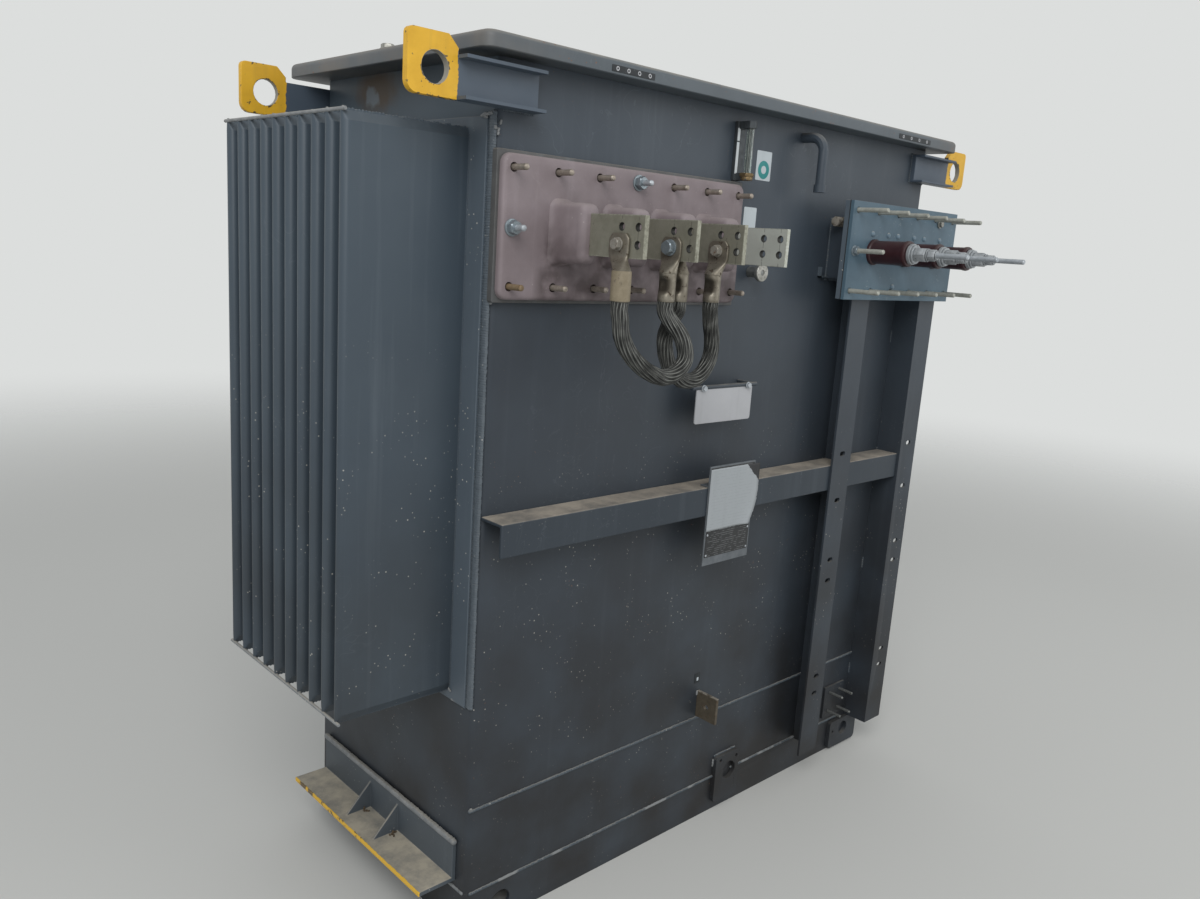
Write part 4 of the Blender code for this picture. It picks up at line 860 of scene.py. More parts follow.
def makeBraid(name, node, first, last, steps, look):
    start, end = lugMouth(first), lugMouth(last)
    lead = np.array((0, 0, -look["lead"]))
    middle = [start + np.array(step) for step in steps]
    route = smoothRoute(np.array([start, start + lead, *middle, end + lead, end]), look["points"])
    route[1][:2], route[-2][:2] = start[:2], end[:2]
    line = pathMesh([smoothRoute(route, finePoints)])
    shape = bmesh.new()
    for count, out, thick in look["ropes"]:
        shape.from_mesh(grow(line, ropeLay, ropeMetal, Ropes=count, LayRadius=out, RopeRadius=thick,
                             Turns=look["turns"]))
    piece = newPiece(name, plainMesh(shape), ropeMetal, (node,), smooth=60)


makeBraid("braid_rope_left", "braid_left", 1, 2, braids["left"], braids)
makeBraid("braid_rope_right", "braid_right", 3, 4, braids["right"], braids)
print("stage: braids made")

# Floor, backdrop and light
studio = {
    "floor": "#c9c9c5",
    "back": "#dcdedd",
    "sky": "#eef1f4",
    "world": 0.62,
    "fadeFrom": 3.0,
    "fadeTo": 8.5,
    "lamps": {"keyLight": ((-3.6, -3.4, 4.8), 3.5, 190), "fillLight": ((3.5, -4.5, 3.0), 4.0, 60)},
}


def makeFloor(look):
    # a round floor that fades out to the backdrop
    shape = bmesh.new()
    bmesh.ops.create_circle(shape, cap_ends=True, segments=64, radius=14)
    floor = bpy.data.objects.new("floor", finishedMesh(shape))
    scene.collection.objects.link(floor)
    made = newMaterial("paleFloor", {"Base Color": tone(look["floor"]), "Roughness": 0.85})
    tree = made.node_tree
    place = tree.nodes["place"].outputs["Object"]
    away = addNode(tree, "ShaderNodeVectorMath", {0: place}, operation="LENGTH").outputs["Value"]
    fade = addNode(tree, "ShaderNodeMapRange", {"Value": away, "From Min": look["fadeFrom"],
                                                "From Max": look["fadeTo"]},
                   interpolation_type="SMOOTHSTEP")
    clear = addNode(tree, "ShaderNodeBsdfTransparent")
    both = addNode(tree, "ShaderNodeMixShader", {0: fade, 1: tree.nodes["Principled BSDF"], 2: clear})
    tree.links.new(both.outputs[0], tree.nodes["Material Output"].inputs["Surface"])
    floor.data.materials.append(made)


def makeLight(look):
    world = bpy.data.worlds.new("softDay")
    scene.world = world
    world.use_nodes = True
    tree = world.node_tree
    light = tree.nodes["Background"]
    light.inputs["Color"].default_value = tone(look["sky"])
    light.inputs["Strength"].default_value = look["world"]
    # the backdrop's own tone, for what is seen straight, in a shine or through glass
    shown = addNode(tree, "ShaderNodeBackground", {"Color": tone(look["back"]), "Strength": 1.0})
    rays = addNode(tree, "ShaderNodeLightPath").outputs
    seen = addNode(tree, "ShaderNodeMath", {
        0: rays["Is Camera Ray"], 1: rays["Is Glossy Ray"]}, operation="MAXIMUM")
    also = addNode(tree, "ShaderNodeMath", {0: seen, 1: rays["Is Transmission Ray"]}, operation="MAXIMUM")
    mixed = addNode(tree, "ShaderNodeMixShader", {0: also, 1: light, 2: shown})
    tree.links.new(mixed.outputs[0], tree.nodes["World Output"].inputs["Surface"])
    for name, (place, size, power) in look["lamps"].items():
        lamp = bpy.data.objects.new(name, bpy.data.lights.new(name, "AREA"))
        lamp.data.energy = power
        lamp.data.size = size
        lamp.location = place
        lamp.rotation_euler = (Vector((0, 0, 0.9)) - Vector(place)).to_track_quat("-Z", "Y").to_euler()
        scene.collection.objects.link(lamp)


makeFloor(studio)
makeLight(studio)
print("stage: floor and light made")


# Shapes that several pieces share
def tablet(shape, x, z, back, thick, edge, radius, steps=5):
    # a flat plate towards -Y with its front edge rounded over
    rings = [[(a, back, b) for a, b in roundCorners(x, z, radius, steps)]]
    for t in np.linspace(0, math.pi / 2, 5):
        inset = edge * (1 - math.cos(t))
        across, up = (min(x) + inset, max(x) - inset), (min(z) + inset, max(z) - inset)
        y = back - thick + edge * (1 - math.sin(t))
        rings.append([(a, y, b) for a, b in roundCorners(across, up, max(radius - inset, 0.0004), steps)])
    skin(shape, rings)


def carved(mesh, cutter):
    # the cutter's shape taken out of the mesh
    body, tool = bpy.data.objects.new("carving", mesh), bpy.data.objects.new("cutter", cutter)
    for item in (body, tool):
        scene.collection.objects.link(item)
    step = body.modifiers.new("cut", "BOOLEAN")
    step.object = tool
    step.operation = "DIFFERENCE"
    step.solver = "EXACT"
    graph = bpy.context.evaluated_depsgraph_get()
    made = bpy.data.meshes.new_from_object(body.evaluated_get(graph))
    for item in (body, tool):
        bpy.data.objects.remove(item)
    return made


def beads(name, material, paths, spacing, bead, wander, seed, spread=(0.75, 1.25)):
    # weld beads along the paths; the spread is the least and the greatest size, whole or by axis
    least, most = (np.broadcast_to(size, 3).tolist() for size in spread)
    mesh = grow(pathMesh(paths), weldBeads, material, Spacing=spacing, Bead=bead, Wander=wander, Seed=seed,
                Least=least, Most=most)
    newPiece(name, mesh)


def scatter(name, slotName, material, places, seed, makeOne, *sizes):
    # the same fastener on every place, each turned by chance about -Y
    shape = bmesh.new()
    makeOne(shape, *sizes)
    one = bpy.data.objects.new(name + "One", finishedMesh(shape))
    scene.collection.objects.link(one)
    mesh = grow(pointsAt(places), fasteners, material, Fastener=one, Seed=seed)
    bpy.data.objects.remove(one)
    newPiece(name, mesh)


def rods(name, material, places, length, radius, thread=0.00175, depth=0.05):
    # a threaded rod from every place towards -Y
    mesh = grow(pointsAt(places), threadedRods, material, Length=length, Radius=radius, Thread=thread,
                Depth=depth)
    newPiece(name, mesh, smooth=60)


def nutOnPlate(shape, across, tall, washer, thin):
    # a nut over its washer, both towards -Y
    turned(shape, ((0, washer), (thin - 0.0004, washer), (thin, washer - 0.0006)), forward)
    hexagon(shape, forward, across, tall, thin)


def studPlaces(x, z, count, y):
    # two rows of studs, and one more halfway up each side
    spots = [(a, y, b) for a in np.linspace(*x, count) for b in z]
    return spots + [(a, y, sum(z) / 2) for a in x]


# Walls keep their solids' shapes
softCopy("tank_body", tankEnamel, 0)
softCopy("base_skirt", tankEnamel, 0.0015)

# Lid: a thick plate with a rolled upper edge, its plug, and two label strips on the front edge
lidLook = {
    "thick": 0.030,
    "round": 0.012,
    "low": 0.0015,
    "corner": 0.024,
    "plug": ((0, 0.016), (0.003, 0.016), (0.004, 0.015)),
    "plugHead": (0.024, 0.0085, 0.004),
    "plugIn": 0.030,
    "strips": ((0.220, 0.336), (1.250, 1.410)),
    "stripLow": 0.005,
    "stripTall": 0.012,
    "rings": 4,
    "ring": ((0, 0.0042), (0.0004, 0.0042), (0.0004, 0.0022), (0.0001, 0.0021)),
}


def makeLid(look):
    low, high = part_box("lid")
    top = low.z + look["thick"]
    levels = [(look["low"], low.z), (0, low.z + look["low"])]
    levels += [(look["round"] * (1 - math.cos(t)), top - look["round"] * (1 - math.sin(t)))
               for t in np.linspace(0, math.pi / 2, 7)]
    rings = []
    for d, z in levels:
        corners = roundCorners((low.x + d, high.x - d), (low.y + d, high.y - d), look["corner"] - d, 7)
        rings.append([(a, b, z) for a, b in corners])
    shape = bmesh.new()
    skin(shape, rings)
    newPiece("lid_plate", shape, lidEnamel, ("lid",))
    shape = bmesh.new()
    place = aim((low.x + look["plugIn"], middleY, top - 0.001), (0, 0, 1))
    turned(shape, look["plug"], place)
    hexagon(shape, place, *look["plugHead"])
    newPiece("lid_plug_made", shape, zincPlate)
    shape, spots = bmesh.new(), []
    for a, b in look["strips"]:
        z = low.z + look["stripLow"]
        across = (leftX + a, leftX + b)
        tablet(shape, across, (z, z + look["stripTall"]), low.y + 0.0003, thick=0.0013, edge=0.0004,
               radius=0.0015, steps=3)
        step = (b - a) / look["rings"]
        spots += [(leftX + a + step * (i + 0.5), low.y - 0.0009, z + look["stripTall"] / 2)
                  for i in range(look["rings"])]
    newPiece("label_strips", shape, blackFoil)
    scatter("label_rings", "white_sheet", whiteEnamel, spots, 4, turned, look["ring"], forward, 16)


makeLid(lidLook)

# Cooling fins: one pressed fin, repeated
fins = {
    "count": 10,
    "pitch": 0.0518,
    "thick": 0.026,
    "root": 0.016,
    "seam": 0.006,
    "nose": 0.013,
    "pinch": 0.018,
    # way along the pinch, and the share of the full width there
    "levels": ((0, 0), (0.06, 0.1), (0.94, 0.95), (1, 1)),
    "plate": 0.006,
    "tie": 0.0034,
    "drop": 0.020,
}


def makeFins(look):
    low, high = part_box("fin_bank")
    reach, face = low.x + look["tie"] / 2, leftX - look["plate"]
    foot, head = low.z + look["drop"], high.z - look["drop"]
    first = middleY - (look["count"] - 1) * look["pitch"] / 2
    rows = [first + i * look["pitch"] for i in range(look["count"])]
    levels = [(foot + look["pinch"] * p, s) for p, s in look["levels"]]
    levels += [(head - look["pinch"] * p, s) for p, s in look["levels"][::-1]]
    rings = []
    for z, share in levels:
        half = max(look["thick"] * share, look["seam"]) / 2
        root = max(look["root"] * share, look["seam"]) / 2
        nose = min(look["nose"], half)
        side = [(leftX - 0.003, root), (face - look["thick"], half)]
        side += [(reach + nose - nose * math.sin(t), half - nose + nose * math.cos(t))
                 for t in np.linspace(0, math.pi / 2, 7)]
        rings.append([(x, first + y, z) for x, y in side + [(x, -y) for x, y in side[::-1]]])
    shape = bmesh.new()
    skin(shape, rings)
    one = finishedMesh(shape, 0.0)
    mesh = grow(one, evenRow, finEnamel, Count=look["count"], Step=(0, look["pitch"], 0))
    newPiece("cooling_fins", mesh, None, ("fin_bank",), smooth=19)
    shape = bmesh.new()
    block(shape, (face, leftX), (low.y, high.y), (low.z, high.z))
    softEdges(newPiece("fin_frame", shape, stripEnamel), 0.002)
    run = (look["count"] - 1) * look["pitch"] + look["thick"]
    shape = bmesh.new()
    for z in (foot, head):
        start = aim((low.x + look["tie"], middleY - run / 2, z), (0, 1, 0))
        turned(shape, ((0, 0.003), (0.001, look["tie"]), (run - 0.001, look["tie"]), (run, 0.003)), start, 12)
    newPiece("fin_ties", shape, paleWeld)
    # closing welds along each fin's pinched seam, top and bottom, and a blob on each tie
    seams = [[(low.x + 0.010, y, z), (face, y, z)] for y in rows for z in (foot + 0.001, head - 0.001)]
    beads("fin_seam_welds", finEnamel, seams, spacing=0.0065, bead=0.0036, wander=0.0004, seed=3)
    blobs = [[(low.x + 0.004, y - 0.004, z), (low.x + 0.006, y + 0.004, z)]
             for y in rows for z in (foot, head)]
    beads("fin_tie_welds", paleWeld, blobs, spacing=0.004, bead=0.0038, wander=0.0010, seed=8)
    # the outer fins' joints to the frame, with a few drops
    joints, drops = [], []
    for y, side in ((rows[0], -1), (rows[-1], 1)):
        y += side * (look["root"] / 2 + 0.0005)
        joints.append([(face - 0.0005, y, foot + 0.012), (face - 0.0005, y, head - 0.012)])
        drops.append([(face - 0.002, y, foot + 0.003), (face - 0.002, y + side * 0.006, foot + 0.001)])
        drops.append([(face + 0.001, y + side * 0.008, low.z + 0.002),
                      (leftX - 0.001, y + side * 0.044, low.z + 0.001)])
    beads("fin_joint_welds", finEnamel, joints, spacing=0.0022, bead=0.0018, wander=0.0002,
          seed=14)
    beads("fin_joint_drops", paleWeld, drops, spacing=0.0030, bead=0.0024, wander=0.0004,
          seed=15)


makeFins(fins)
print("stage: lid and fins made")

# Rails, posts, eyes, pipe, feet, lifting lugs and earth plate: the solids' shapes with eased edges
for nodeNames, slotName, paint, width in (
    (("rail_front", "rail_between_posts", "rail_back"), "tank_paint", railEnamel, 0.003),
    (("post_left", "post_right"), "tank_paint", tankEnamel, 0.0016),
    (("pull_eye_left", "pull_eye_right"), "tank_paint", tankEnamel, 0.0015),
    (("relief_pipe",), "tank_paint", tankEnamel, 0),
    (("foot_left", "foot_right"), "tank_paint", footEnamel, 0.0015),
    (("lifting_lug_front_left", "lifting_lug_front_right"), "yellow_paint", lugEnamel, 0.0018),
    (("lifting_lug_back_left", "lifting_lug_back_right"), "yellow_paint", lugEnamel, 0.0018),
    (("earth_terminal",), "earth_steel", earthSteel, 0.0008),
):
    for nodeName in nodeNames:
        softCopy(nodeName, paint, width)

# Low-voltage plate: cast resin with flared bosses, on a welded frame with studs
lvLook = {
    "thick": 0.014,
    "edge": 0.008,
    "corner": 0.020,
    "margin": 0.006,
    "frameEdge": 0.0015,
    "frameCorner": 0.004,
    "studs": 7,
    "hole": 0.0088,
    "side": 0.022,
    "inset": 0.025,
    "reach": 0.061,
    "stud": 0.0057,
    "nut": (0.0235, 0.0135, 0.0160, 0.003),
    "boss": (0.023, 0.056),
    # a boss by its depth: how much wider and taller it is there, and its corners' radius
    "bossRings": (
        (-0.002, 0.009, 0.008, 0.020), (0.001, 0.0075, 0.0070, 0.020), (0.004, 0.0040, 0.0045, 0.018),
        (0.010, 0.0018, 0.0022, 0.017), (0.020, 0.0005, 0.0015, 0.016), (0.072, 0, 0, 0.015),
        (0.079, -0.0015, -0.002, 0.014), (0.085, -0.0055, -0.0065, 0.012), (0.088, -0.011, -0.013, 0.008),
    ),
}


def makeLowVoltage(look):
    (x0, _, z0), (x1, back, z1) = (tuple(c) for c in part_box("lv_plate"))
    front, frameBack = back - look["thick"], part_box("lv_frame")[1].y
    out = look["margin"]
    shape = bmesh.new()
    tablet(shape, (x0 - out, x1 + out), (z0 - out, z1 + out), frameBack, thick=look["thick"],
           edge=look["frameEdge"], radius=look["frameCorner"])
    newPiece("lv_frame_plate", shape, frameEnamel, ("lv_frame",))
    places = studPlaces((x0 + look["side"], x1 - look["side"]), (z0 + look["inset"], z1 - look["inset"]),
                        look["studs"], frameBack - look["thick"] / 2)
    plate, holes = bmesh.new(), bmesh.new()
    tablet(plate, (x0, x1), (z0, z1), back, thick=look["thick"], edge=look["edge"], radius=look["corner"],
           steps=7)
    for x, _, z in places:
        turned(holes, ((0, look["hole"]), (0.060, look["hole"])), aim((x, back + 0.02, z), (0, -1, 0)), 20)
    shape = bmesh.new()
    shape.from_mesh(carved(finishedMesh(plate), finishedMesh(holes)))
    for number in range(1, 5):
        x, _, z = middleOf(f"lv_bar_{number}")
        rings = []
        for depth, wide, tall, radius in look["bossRings"]:
            a, b = look["boss"][0] + wide, look["boss"][1] + tall
            corners = roundCorners((x - a, x + a), (z - b, z + b), min(radius, a - 0.001), 6)
            rings.append([(p, front - depth, q) for p, q in corners])
        skin(shape, rings)
    bmesh.ops.recalc_face_normals(shape, faces=shape.faces)
    newPiece("lv_plate_cast", plainMesh(shape), castResin, ("lv_plate",), smooth=40)
    # two bright studs carry nuts, and those in the lower left corner are rusty
    columns = sorted({p[0] for p in places})
    nutted = [(columns[3], front, z1 - look["inset"]), (columns[0], front, (z0 + z1) / 2)]
    bright = [p for p in places if any(math.dist((p[0], p[2]), (q[0], q[2])) < 0.001 for q in nutted)]
    rusty = [p for p in places if p[0] < x0 + 0.1 and p[2] < z0 + 0.1]
    plain = [p for p in places if p not in rusty + bright]
    rods("lv_studs", beigeZinc, plain, look["reach"], look["stud"])
    rods("lv_stud_rusty", amberZinc, rusty, look["reach"], look["stud"])
    rods("lv_studs_nutted", brightZinc, bright, look["reach"], look["stud"])
    scatter("lv_nuts", "zinc_hardware", blueZinc, nutted, 5, nutOnPlate, *look["nut"])
    for number in range(1, 5):
        softCopy(f"lv_bar_{number}", tinnedCopper, 0.0014)


makeLowVoltage(lvLook)

# Cable lugs: a palm that turns into a crimped barrel, on a bolt through each bar
lugLook = {
    "sides": 28,
    "crimp": 0.0078,
    "crimpAt": -0.069,
    "crimpTall": 0.0150,
    # height from the bolt, half width, half thickness, share of the way to the barrel's axis, roundness
    "rings": (
        (0.0198, 0.0155, 0.0022, 0, 7), (0.0192, 0.0168, 0.003, 0, 8), (0.0165, 0.0196, 0.003, 0, 8),
        (0.011, 0.0240, 0.003, 0, 8), (0.007, 0.025, 0.003, 0, 8), (-0.012, 0.025, 0.003, 0, 8),
        (-0.019, 0.0238, 0.003, 0, 6), (-0.0245, 0.0215, 0.0042, 0.07, 4.5),
        (-0.031, 0.0195, 0.0078, 0.34, 3.4), (-0.038, 0.0178, 0.0122, 0.68, 2.6),
        (-0.0445, 0.0172, 0.0160, 0.95, 2.1), (-0.0458, 0.0174, 0.0170, 1, 2),
        (-0.0472, 0.0165, 0.0165, 1, 2),
        *((up, 0.0165, 0.0165, 1, 2) for up in np.linspace(-0.049, -0.094, 16)),
        (-0.0985, 0.0165, 0.0165, 1, 2), (-0.1, 0.0155, 0.0155, 1, 2),
    ),
    # lug, bar, width across the flats, height of the head, metal
    "bolts": (
        (1, 1, 0.019, 0.009, rustyZinc), (2, 2, 0.024, 0.011, blueZinc), (4, 3, 0.019, 0.009, rustyZinc),
    ),
    "sleeve": (
        (0, 0.0166), (0, 0.0180), (0.003, 0.0183), (0.050, 0.0181), (0.0525, 0.0176), (0.0525, 0.0166),
    ),
}


def makeLug(number, look):
    low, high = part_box(f"cable_lug_{number}")
    side = lugs["side"][number]
    face = low.x if side > 0 else high.x
    rings = []
    for up, wide, thick, share, power in look["rings"]:
        x = face + side * (0.003 + share * (lugs["barrel"] - 0.0027))
        y = boltY - share * lugs["shift"][number]
        dent = look["crimp"] * math.exp(-((up - look["crimpAt"]) / look["crimpTall"]) ** 4)
        ring = []
        for i in range(look["sides"]):
            t = 2 * math.pi * i / look["sides"]
            c, s = math.cos(t), math.sin(t)
            a = math.copysign(abs(c) ** (2 / power), c) * thick
            b = math.copysign(abs(s) ** (2 / power), s) * wide
            if c < 0:
                a += dent * abs(c) ** 3
            ring.append((x + a, y + b, boltZ + up))
        rings.append(ring)
    shape = bmesh.new()
    skin(shape, rings)
    newPiece(f"cable_lug_{number}_made", shape, tinnedLug, (f"cable_lug_{number}",), smooth=50)


def makeLugBolt(number, bar, across, tall, metalKind):
    # the head on the lug's outer face, and a nut with the bolt's end on the far side of the bar
    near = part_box(f"cable_lug_{number}")[1].x - 0.0063
    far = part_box("cable_lug_3")[0].x + 0.006 if number == 2 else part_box(f"lv_bar_{bar}")[1].x
    head, tail = aim((near, boltY, boltZ), (-1, 0, 0)), aim((far, boltY, boltZ), (1, 0, 0))
    wide = across * 0.64
    shape = bmesh.new()
    for place in (head, tail):
        turned(shape, ((0, wide), (0.0021, wide), (0.0025, wide - 0.0007)), place, 28)
    hexagon(shape, head, across, tall, 0.0025)
    hexagon(shape, tail, across, tall + 0.001, 0.0025)
    turned(shape, ((0.010, across * 0.30), (0.022, across * 0.30), (0.0232, across * 0.24)), tail, 16)
    newPiece(f"lug_bolt_{number}", shape, metalKind)


def makeSleeve(profile):
    shape = bmesh.new()
    turned(shape, profile, aim(lugMouth(1) + np.array((0, 0, 0.002)), (0, 0, 1)), 28)
    newPiece("lug_sleeve", shape, beigeSleeve)


for number in range(1, 5):
    makeLug(number, lugLook)
for bolt in lugLook["bolts"]:
    makeLugBolt(*bolt)
makeSleeve(lugLook["sleeve"])
print("stage: low-voltage side made")

# High-voltage turret: frame, neck, plate, bushings and their nuts
hvLook = {
    "frame": 0.015,
    "insetX": 0.064,
    "insetZ": 0.044,
    "corner": 0.012,
    "studs": 6,
    "inset": 0.022,
    "reach": 0.1010,
    "stud": 0.0057,
    "nut": (0.019, 0.010, 0.0125, 0.0025),
    "bushing": ((-0.010, 0.0215), (-0.0003, 0.0215), (0, 0.0318), (0.0055, 0.0320), (0.0075, 0.0312),
                (0.009, 0.0292), (0.014, 0.0286), (0.060, 0.0292), (0.090, 0.0296), (0.0935, 0.0310),
                (0.100, 0.0314), (0.1035, 0.0300), (0.1046, 0.0260)),
    "collar": ((0, 0.0232), (0.0012, 0.0250), (0.0085, 0.0250), (0.0098, 0.0236), (0.0100, 0.0215),
               (0.0108, 0.0226), (0.0148, 0.0230), (0.0160, 0.0216)),
    "nuts": ((0.0160, 0.0290, 0.0320), (0.0500, 0.0180, 0.0250)),
    "washers": ((0.0462, 0.0030, 0.0150), (0.0690, 0.0020, 0.0108)),
    "stem": (0.1498, 0.0064, 0.0025, 0.06),
    "plug": ((0, 0.0125), (0.031, 0.0125), (0.034, 0.0112), (0.035, 0.008)),
    "plugOut": 0.034,
    "plugZ": 1.565,
    "clip": ((1.035, 1.069), (1.425, 1.451)),
}


def makeTurret(look):
    (x0, front, z0), (x1, back, z1) = (tuple(c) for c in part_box("hv_plate"))
    near = back + 0.0003
    shape = bmesh.new()
    block(shape, (x0, x1), (near, near + look["frame"]), (z0, z1))
    softEdges(newPiece("hv_frame", shape, stripEnamel, ("hv_turret",)), 0.0015)
    across, up = (x0 + look["insetX"], x1 - look["insetX"]), (z0 + look["insetZ"], z1 - look["insetZ"])
    shape = bmesh.new()
    skin(shape, [[(a, y, b) for a, b in roundCorners(across, up, look["corner"])]
                 for y in (near + look["frame"] / 2, frontY + 0.001)])
    newPiece("hv_neck", shape, tankEnamel)
    softCopy("hv_plate", plateEnamel, 0.001)
    # the gasket's edge shows as a dark line between frame and plate
    shape = bmesh.new()
    block(shape, (x0 - 0.0004, x1 + 0.0004), (back - 0.0010, near + 0.0012), (z0 - 0.0004, z1 + 0.0004))
    newPiece("hv_gasket", shape, rubber)
    sides = (x0 + look["inset"], x1 - look["inset"])
    places = studPlaces(sides, (z0 + look["inset"], z1 - look["inset"]), look["studs"],
                        near + look["frame"] / 2)
    rods("hv_studs", greyZinc, places, look["reach"], look["stud"])
    nutted = [(x, front, (z0 + z1) / 2) for x in sides]
    scatter("hv_nuts", "zinc_hardware", blueZinc, nutted, 6, nutOnPlate, *look["nut"])
    # a plugged pipe on the neck's left side, and a small angle on the wall beside it
    shape = bmesh.new()
    turned(shape, look["plug"], aim((across[0] + 0.001, frontY - look["plugOut"], look["plugZ"]), (-1, 0, 0)))
    newPiece("neck_plug", shape, earthSteel)
    shape = bmesh.new()
    (a, b), (c, d) = look["clip"]
    block(shape, (leftX + a, leftX + a + 0.003), (frontY - 0.011, frontY + 0.001), (c, d))
    block(shape, (leftX + a, leftX + b), (frontY - 0.011, frontY + 0.001), (c, c + 0.003))
    newPiece("wall_clip", shape, weldEnamel)


def makeBushings(look):
    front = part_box("hv_plate")[0].y
    stems = []
    for number in range(1, 4):
        x, _, z = middleOf(f"hv_terminal_{number}")
        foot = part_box(f"hv_terminal_{number}")[1].y
        shape = bmesh.new()
        turned(shape, look["bushing"], aim((x, front - 0.0003, z), (0, -1, 0)), 40)
        newPiece(f"hv_bushing_{number}_made", shape, redResin, (f"hv_bushing_{number}",))
        place = aim((x, foot, z), (0, -1, 0)) @ Matrix.Rotation(0.4 * number, 4, "Z")
        shape = bmesh.new()
        turned(shape, look["collar"], place, 36)
        for start, tall, wide in look["nuts"]:
            hexagon(shape, place @ Matrix.Rotation(start * 9, 4, "Z"), wide, tall, start)
        for start, tall, radius in look["washers"]:
            rim, end = radius - 0.0008, start + tall
            turned(shape, ((start, rim), (start + 0.0008, radius), (end - 0.0008, radius), (end, rim)),
                   place, 28)
        newPiece(f"hv_terminal_{number}_made", shape, pittedZinc, (f"hv_terminal_{number}",))
        stems.append((x, foot, z))
    rods("hv_stems", brightZinc, stems, *look["stem"])


makeTurret(hvLook)
makeBushings(hvLook)
print("stage: high-voltage side made")

# Level gauge: fittings, a glass column, and the scale and rods in it
gaugeLook = {
    "glass": 0.0088,
    "wall": 0.0014,
    "nut": (0.0295, 0.0085, 0.0005),
    "boss": ((0.009, 0.0135), (0.0115, 0.0140), (0.0155, 0.0132), (0.0166, 0.011)),
    "scale": 0.0082,
    "rod": 0.0016,
    "rods": (-0.0030, 0.0035),
    "float": (0.60, 0.0034),
}


def makeGauge(look):
    softCopy("gauge_body", darkSteel, 0.0008)
    low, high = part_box("gauge_tube")
    x, y, _ = middleOf("gauge_tube")
    tall = high.z - low.z
    up, down = aim((x, y, low.z), (0, 0, 1)), aim((x, y, low.z), (0, 0, -1))
    inner = look["glass"] - look["wall"]
    shape = bmesh.new()
    turned(shape, ((0, inner), (0, look["glass"]), (tall, look["glass"]), (tall, inner)), up, 28)
    ends = [f for f in shape.faces if len(f.verts) > 4]
    bmesh.ops.delete(shape, geom=ends, context="FACES")
    bmesh.ops.bridge_loops(shape, edges=[e for e in shape.edges if e.is_boundary])
    newPiece("gauge_glass_made", shape, clearGlass, ("gauge_tube",))
    # white scale strip on the back plate's left edge, with a break in its upper part
    left, face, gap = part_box("gauge_body")[0].x, frontY - 0.0090, high.z - 0.30 * tall
    shape = bmesh.new()
    for z in ((low.z - 0.002, gap), (gap + 0.003, high.z + 0.002)):
        block(shape, (left + 0.0006, left + look["scale"]), (face - 0.0009, face + 0.0005), z)
    newPiece("gauge_scale", shape, scaleEnamel)
    # two thin rods, and the float on the right one
    shape = bmesh.new()
    for aside in look["rods"]:
        turned(shape, ((0, look["rod"]), (tall, look["rod"])), aim((x + aside, y, low.z), (0, 0, 1)), 12)
    share, radius = look["float"]
    turned(shape, ((tall * share, radius), (tall * share + 0.0012, radius)),
           aim((x + look["rods"][1], y, low.z), (0, 0, 1)), 12)
    newPiece("gauge_rod", shape, gaugeSteel)
    shape = bmesh.new()
    hexagon(shape, down, *look["nut"])
    turned(shape, look["boss"], down)
    newPiece("gauge_brass", shape, brass)


# Oil valve: its cap, with six small round bumps in a hollow
valveLook = {
    "cap": ((0, 0.0206), (0.0015, 0.0206), (0.0025, 0.0196), (0.0025, 0.0070), (0.0004, 0.0064)),
    "bump": ((0, 0.0022), (0.0010, 0.0020), (0.0014, 0.0012)),
    "bumps": 6,
    "ring": 0.0135,
}


def makeValve(look):
    softCopy("oil_valve", gaugeSteel, 0.0006)
    x, _, z = middleOf("oil_valve")
    place = aim((x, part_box("oil_valve")[0].y + 0.0005, z), (0, -1, 0))
    shape = bmesh.new()
    turned(shape, look["cap"], place, 32)
    for i in range(look["bumps"]):
        t = 2 * math.pi * i / look["bumps"] + 0.3
        spot = Matrix.Translation((look["ring"] * math.cos(t), look["ring"] * math.sin(t), 0.0022))
        turned(shape, look["bump"], place @ spot, 10)
    newPiece("valve_cap", shape, zincPlate)


# Two plain stickers beside the gauge and a small earth label, all without words
labels = {
    "stickers": (((0.745, 0.800), (1.640, 1.706)), ((0.716, 0.762), (1.530, 1.577))),
    "disc": (0.773, 1.664),
    "earth": ((0.692, 0.712), (0.396, 0.424)),
    "patch": ((0.700, 0.7065), (0.402, 0.411)),
}


def makeLabel(name, material, fields, back, sizes):
    # the sizes are thickness, edge and corner
    shape = bmesh.new()
    for (a, b), z in fields:
        tablet(shape, (leftX + a, leftX + b), z, back, *sizes, 3)
    newPiece(name, shape, material)


def makeLabels(look):
    wall = frontY - 0.0001
    makeLabel("wall_stickers", whiteFoil, look["stickers"], wall + 0.0002, (0.0006, 0.0002, 0.0025))
    x, z = look["disc"]
    for name, material, out, radius, inset, sides in (
        ("sticker_disc", tealFoil, 0.0004, 0.0205, 0.0005, 40),
        ("sticker_middle", whiteFoil, 0.0006, 0.0092, 0.0004, 32),
    ):
        shape = bmesh.new()
        turned(shape, ((0, radius), (0.0002, radius), (0.0003, radius - inset)),
               aim((leftX + x, wall - out, z), (0, -1, 0)), sides)
        newPiece(name, shape, material)
    makeLabel("earth_label", blackFoil, [look["earth"]], wall + 0.0002, (0.0010, 0.0003, 0.0015))
    makeLabel("earth_label_patch", whiteFoil, [look["patch"]], wall - 0.0007, (0.0004, 0.0001, 0.0010))


makeGauge(gaugeLook)
makeValve(valveLook)
makeLabels(labels)

# Blank sign on its bar
signLook = {
    "bar": 0.005,
    "arm": 0.004,
    "extra": 0.016,
    "thick": 0.0026,
    "corner": 0.006,
    "bolts": (0.020, 0.178),
    "nut": (0.0115, 0.0052, 0.0078, 0.0012),
}


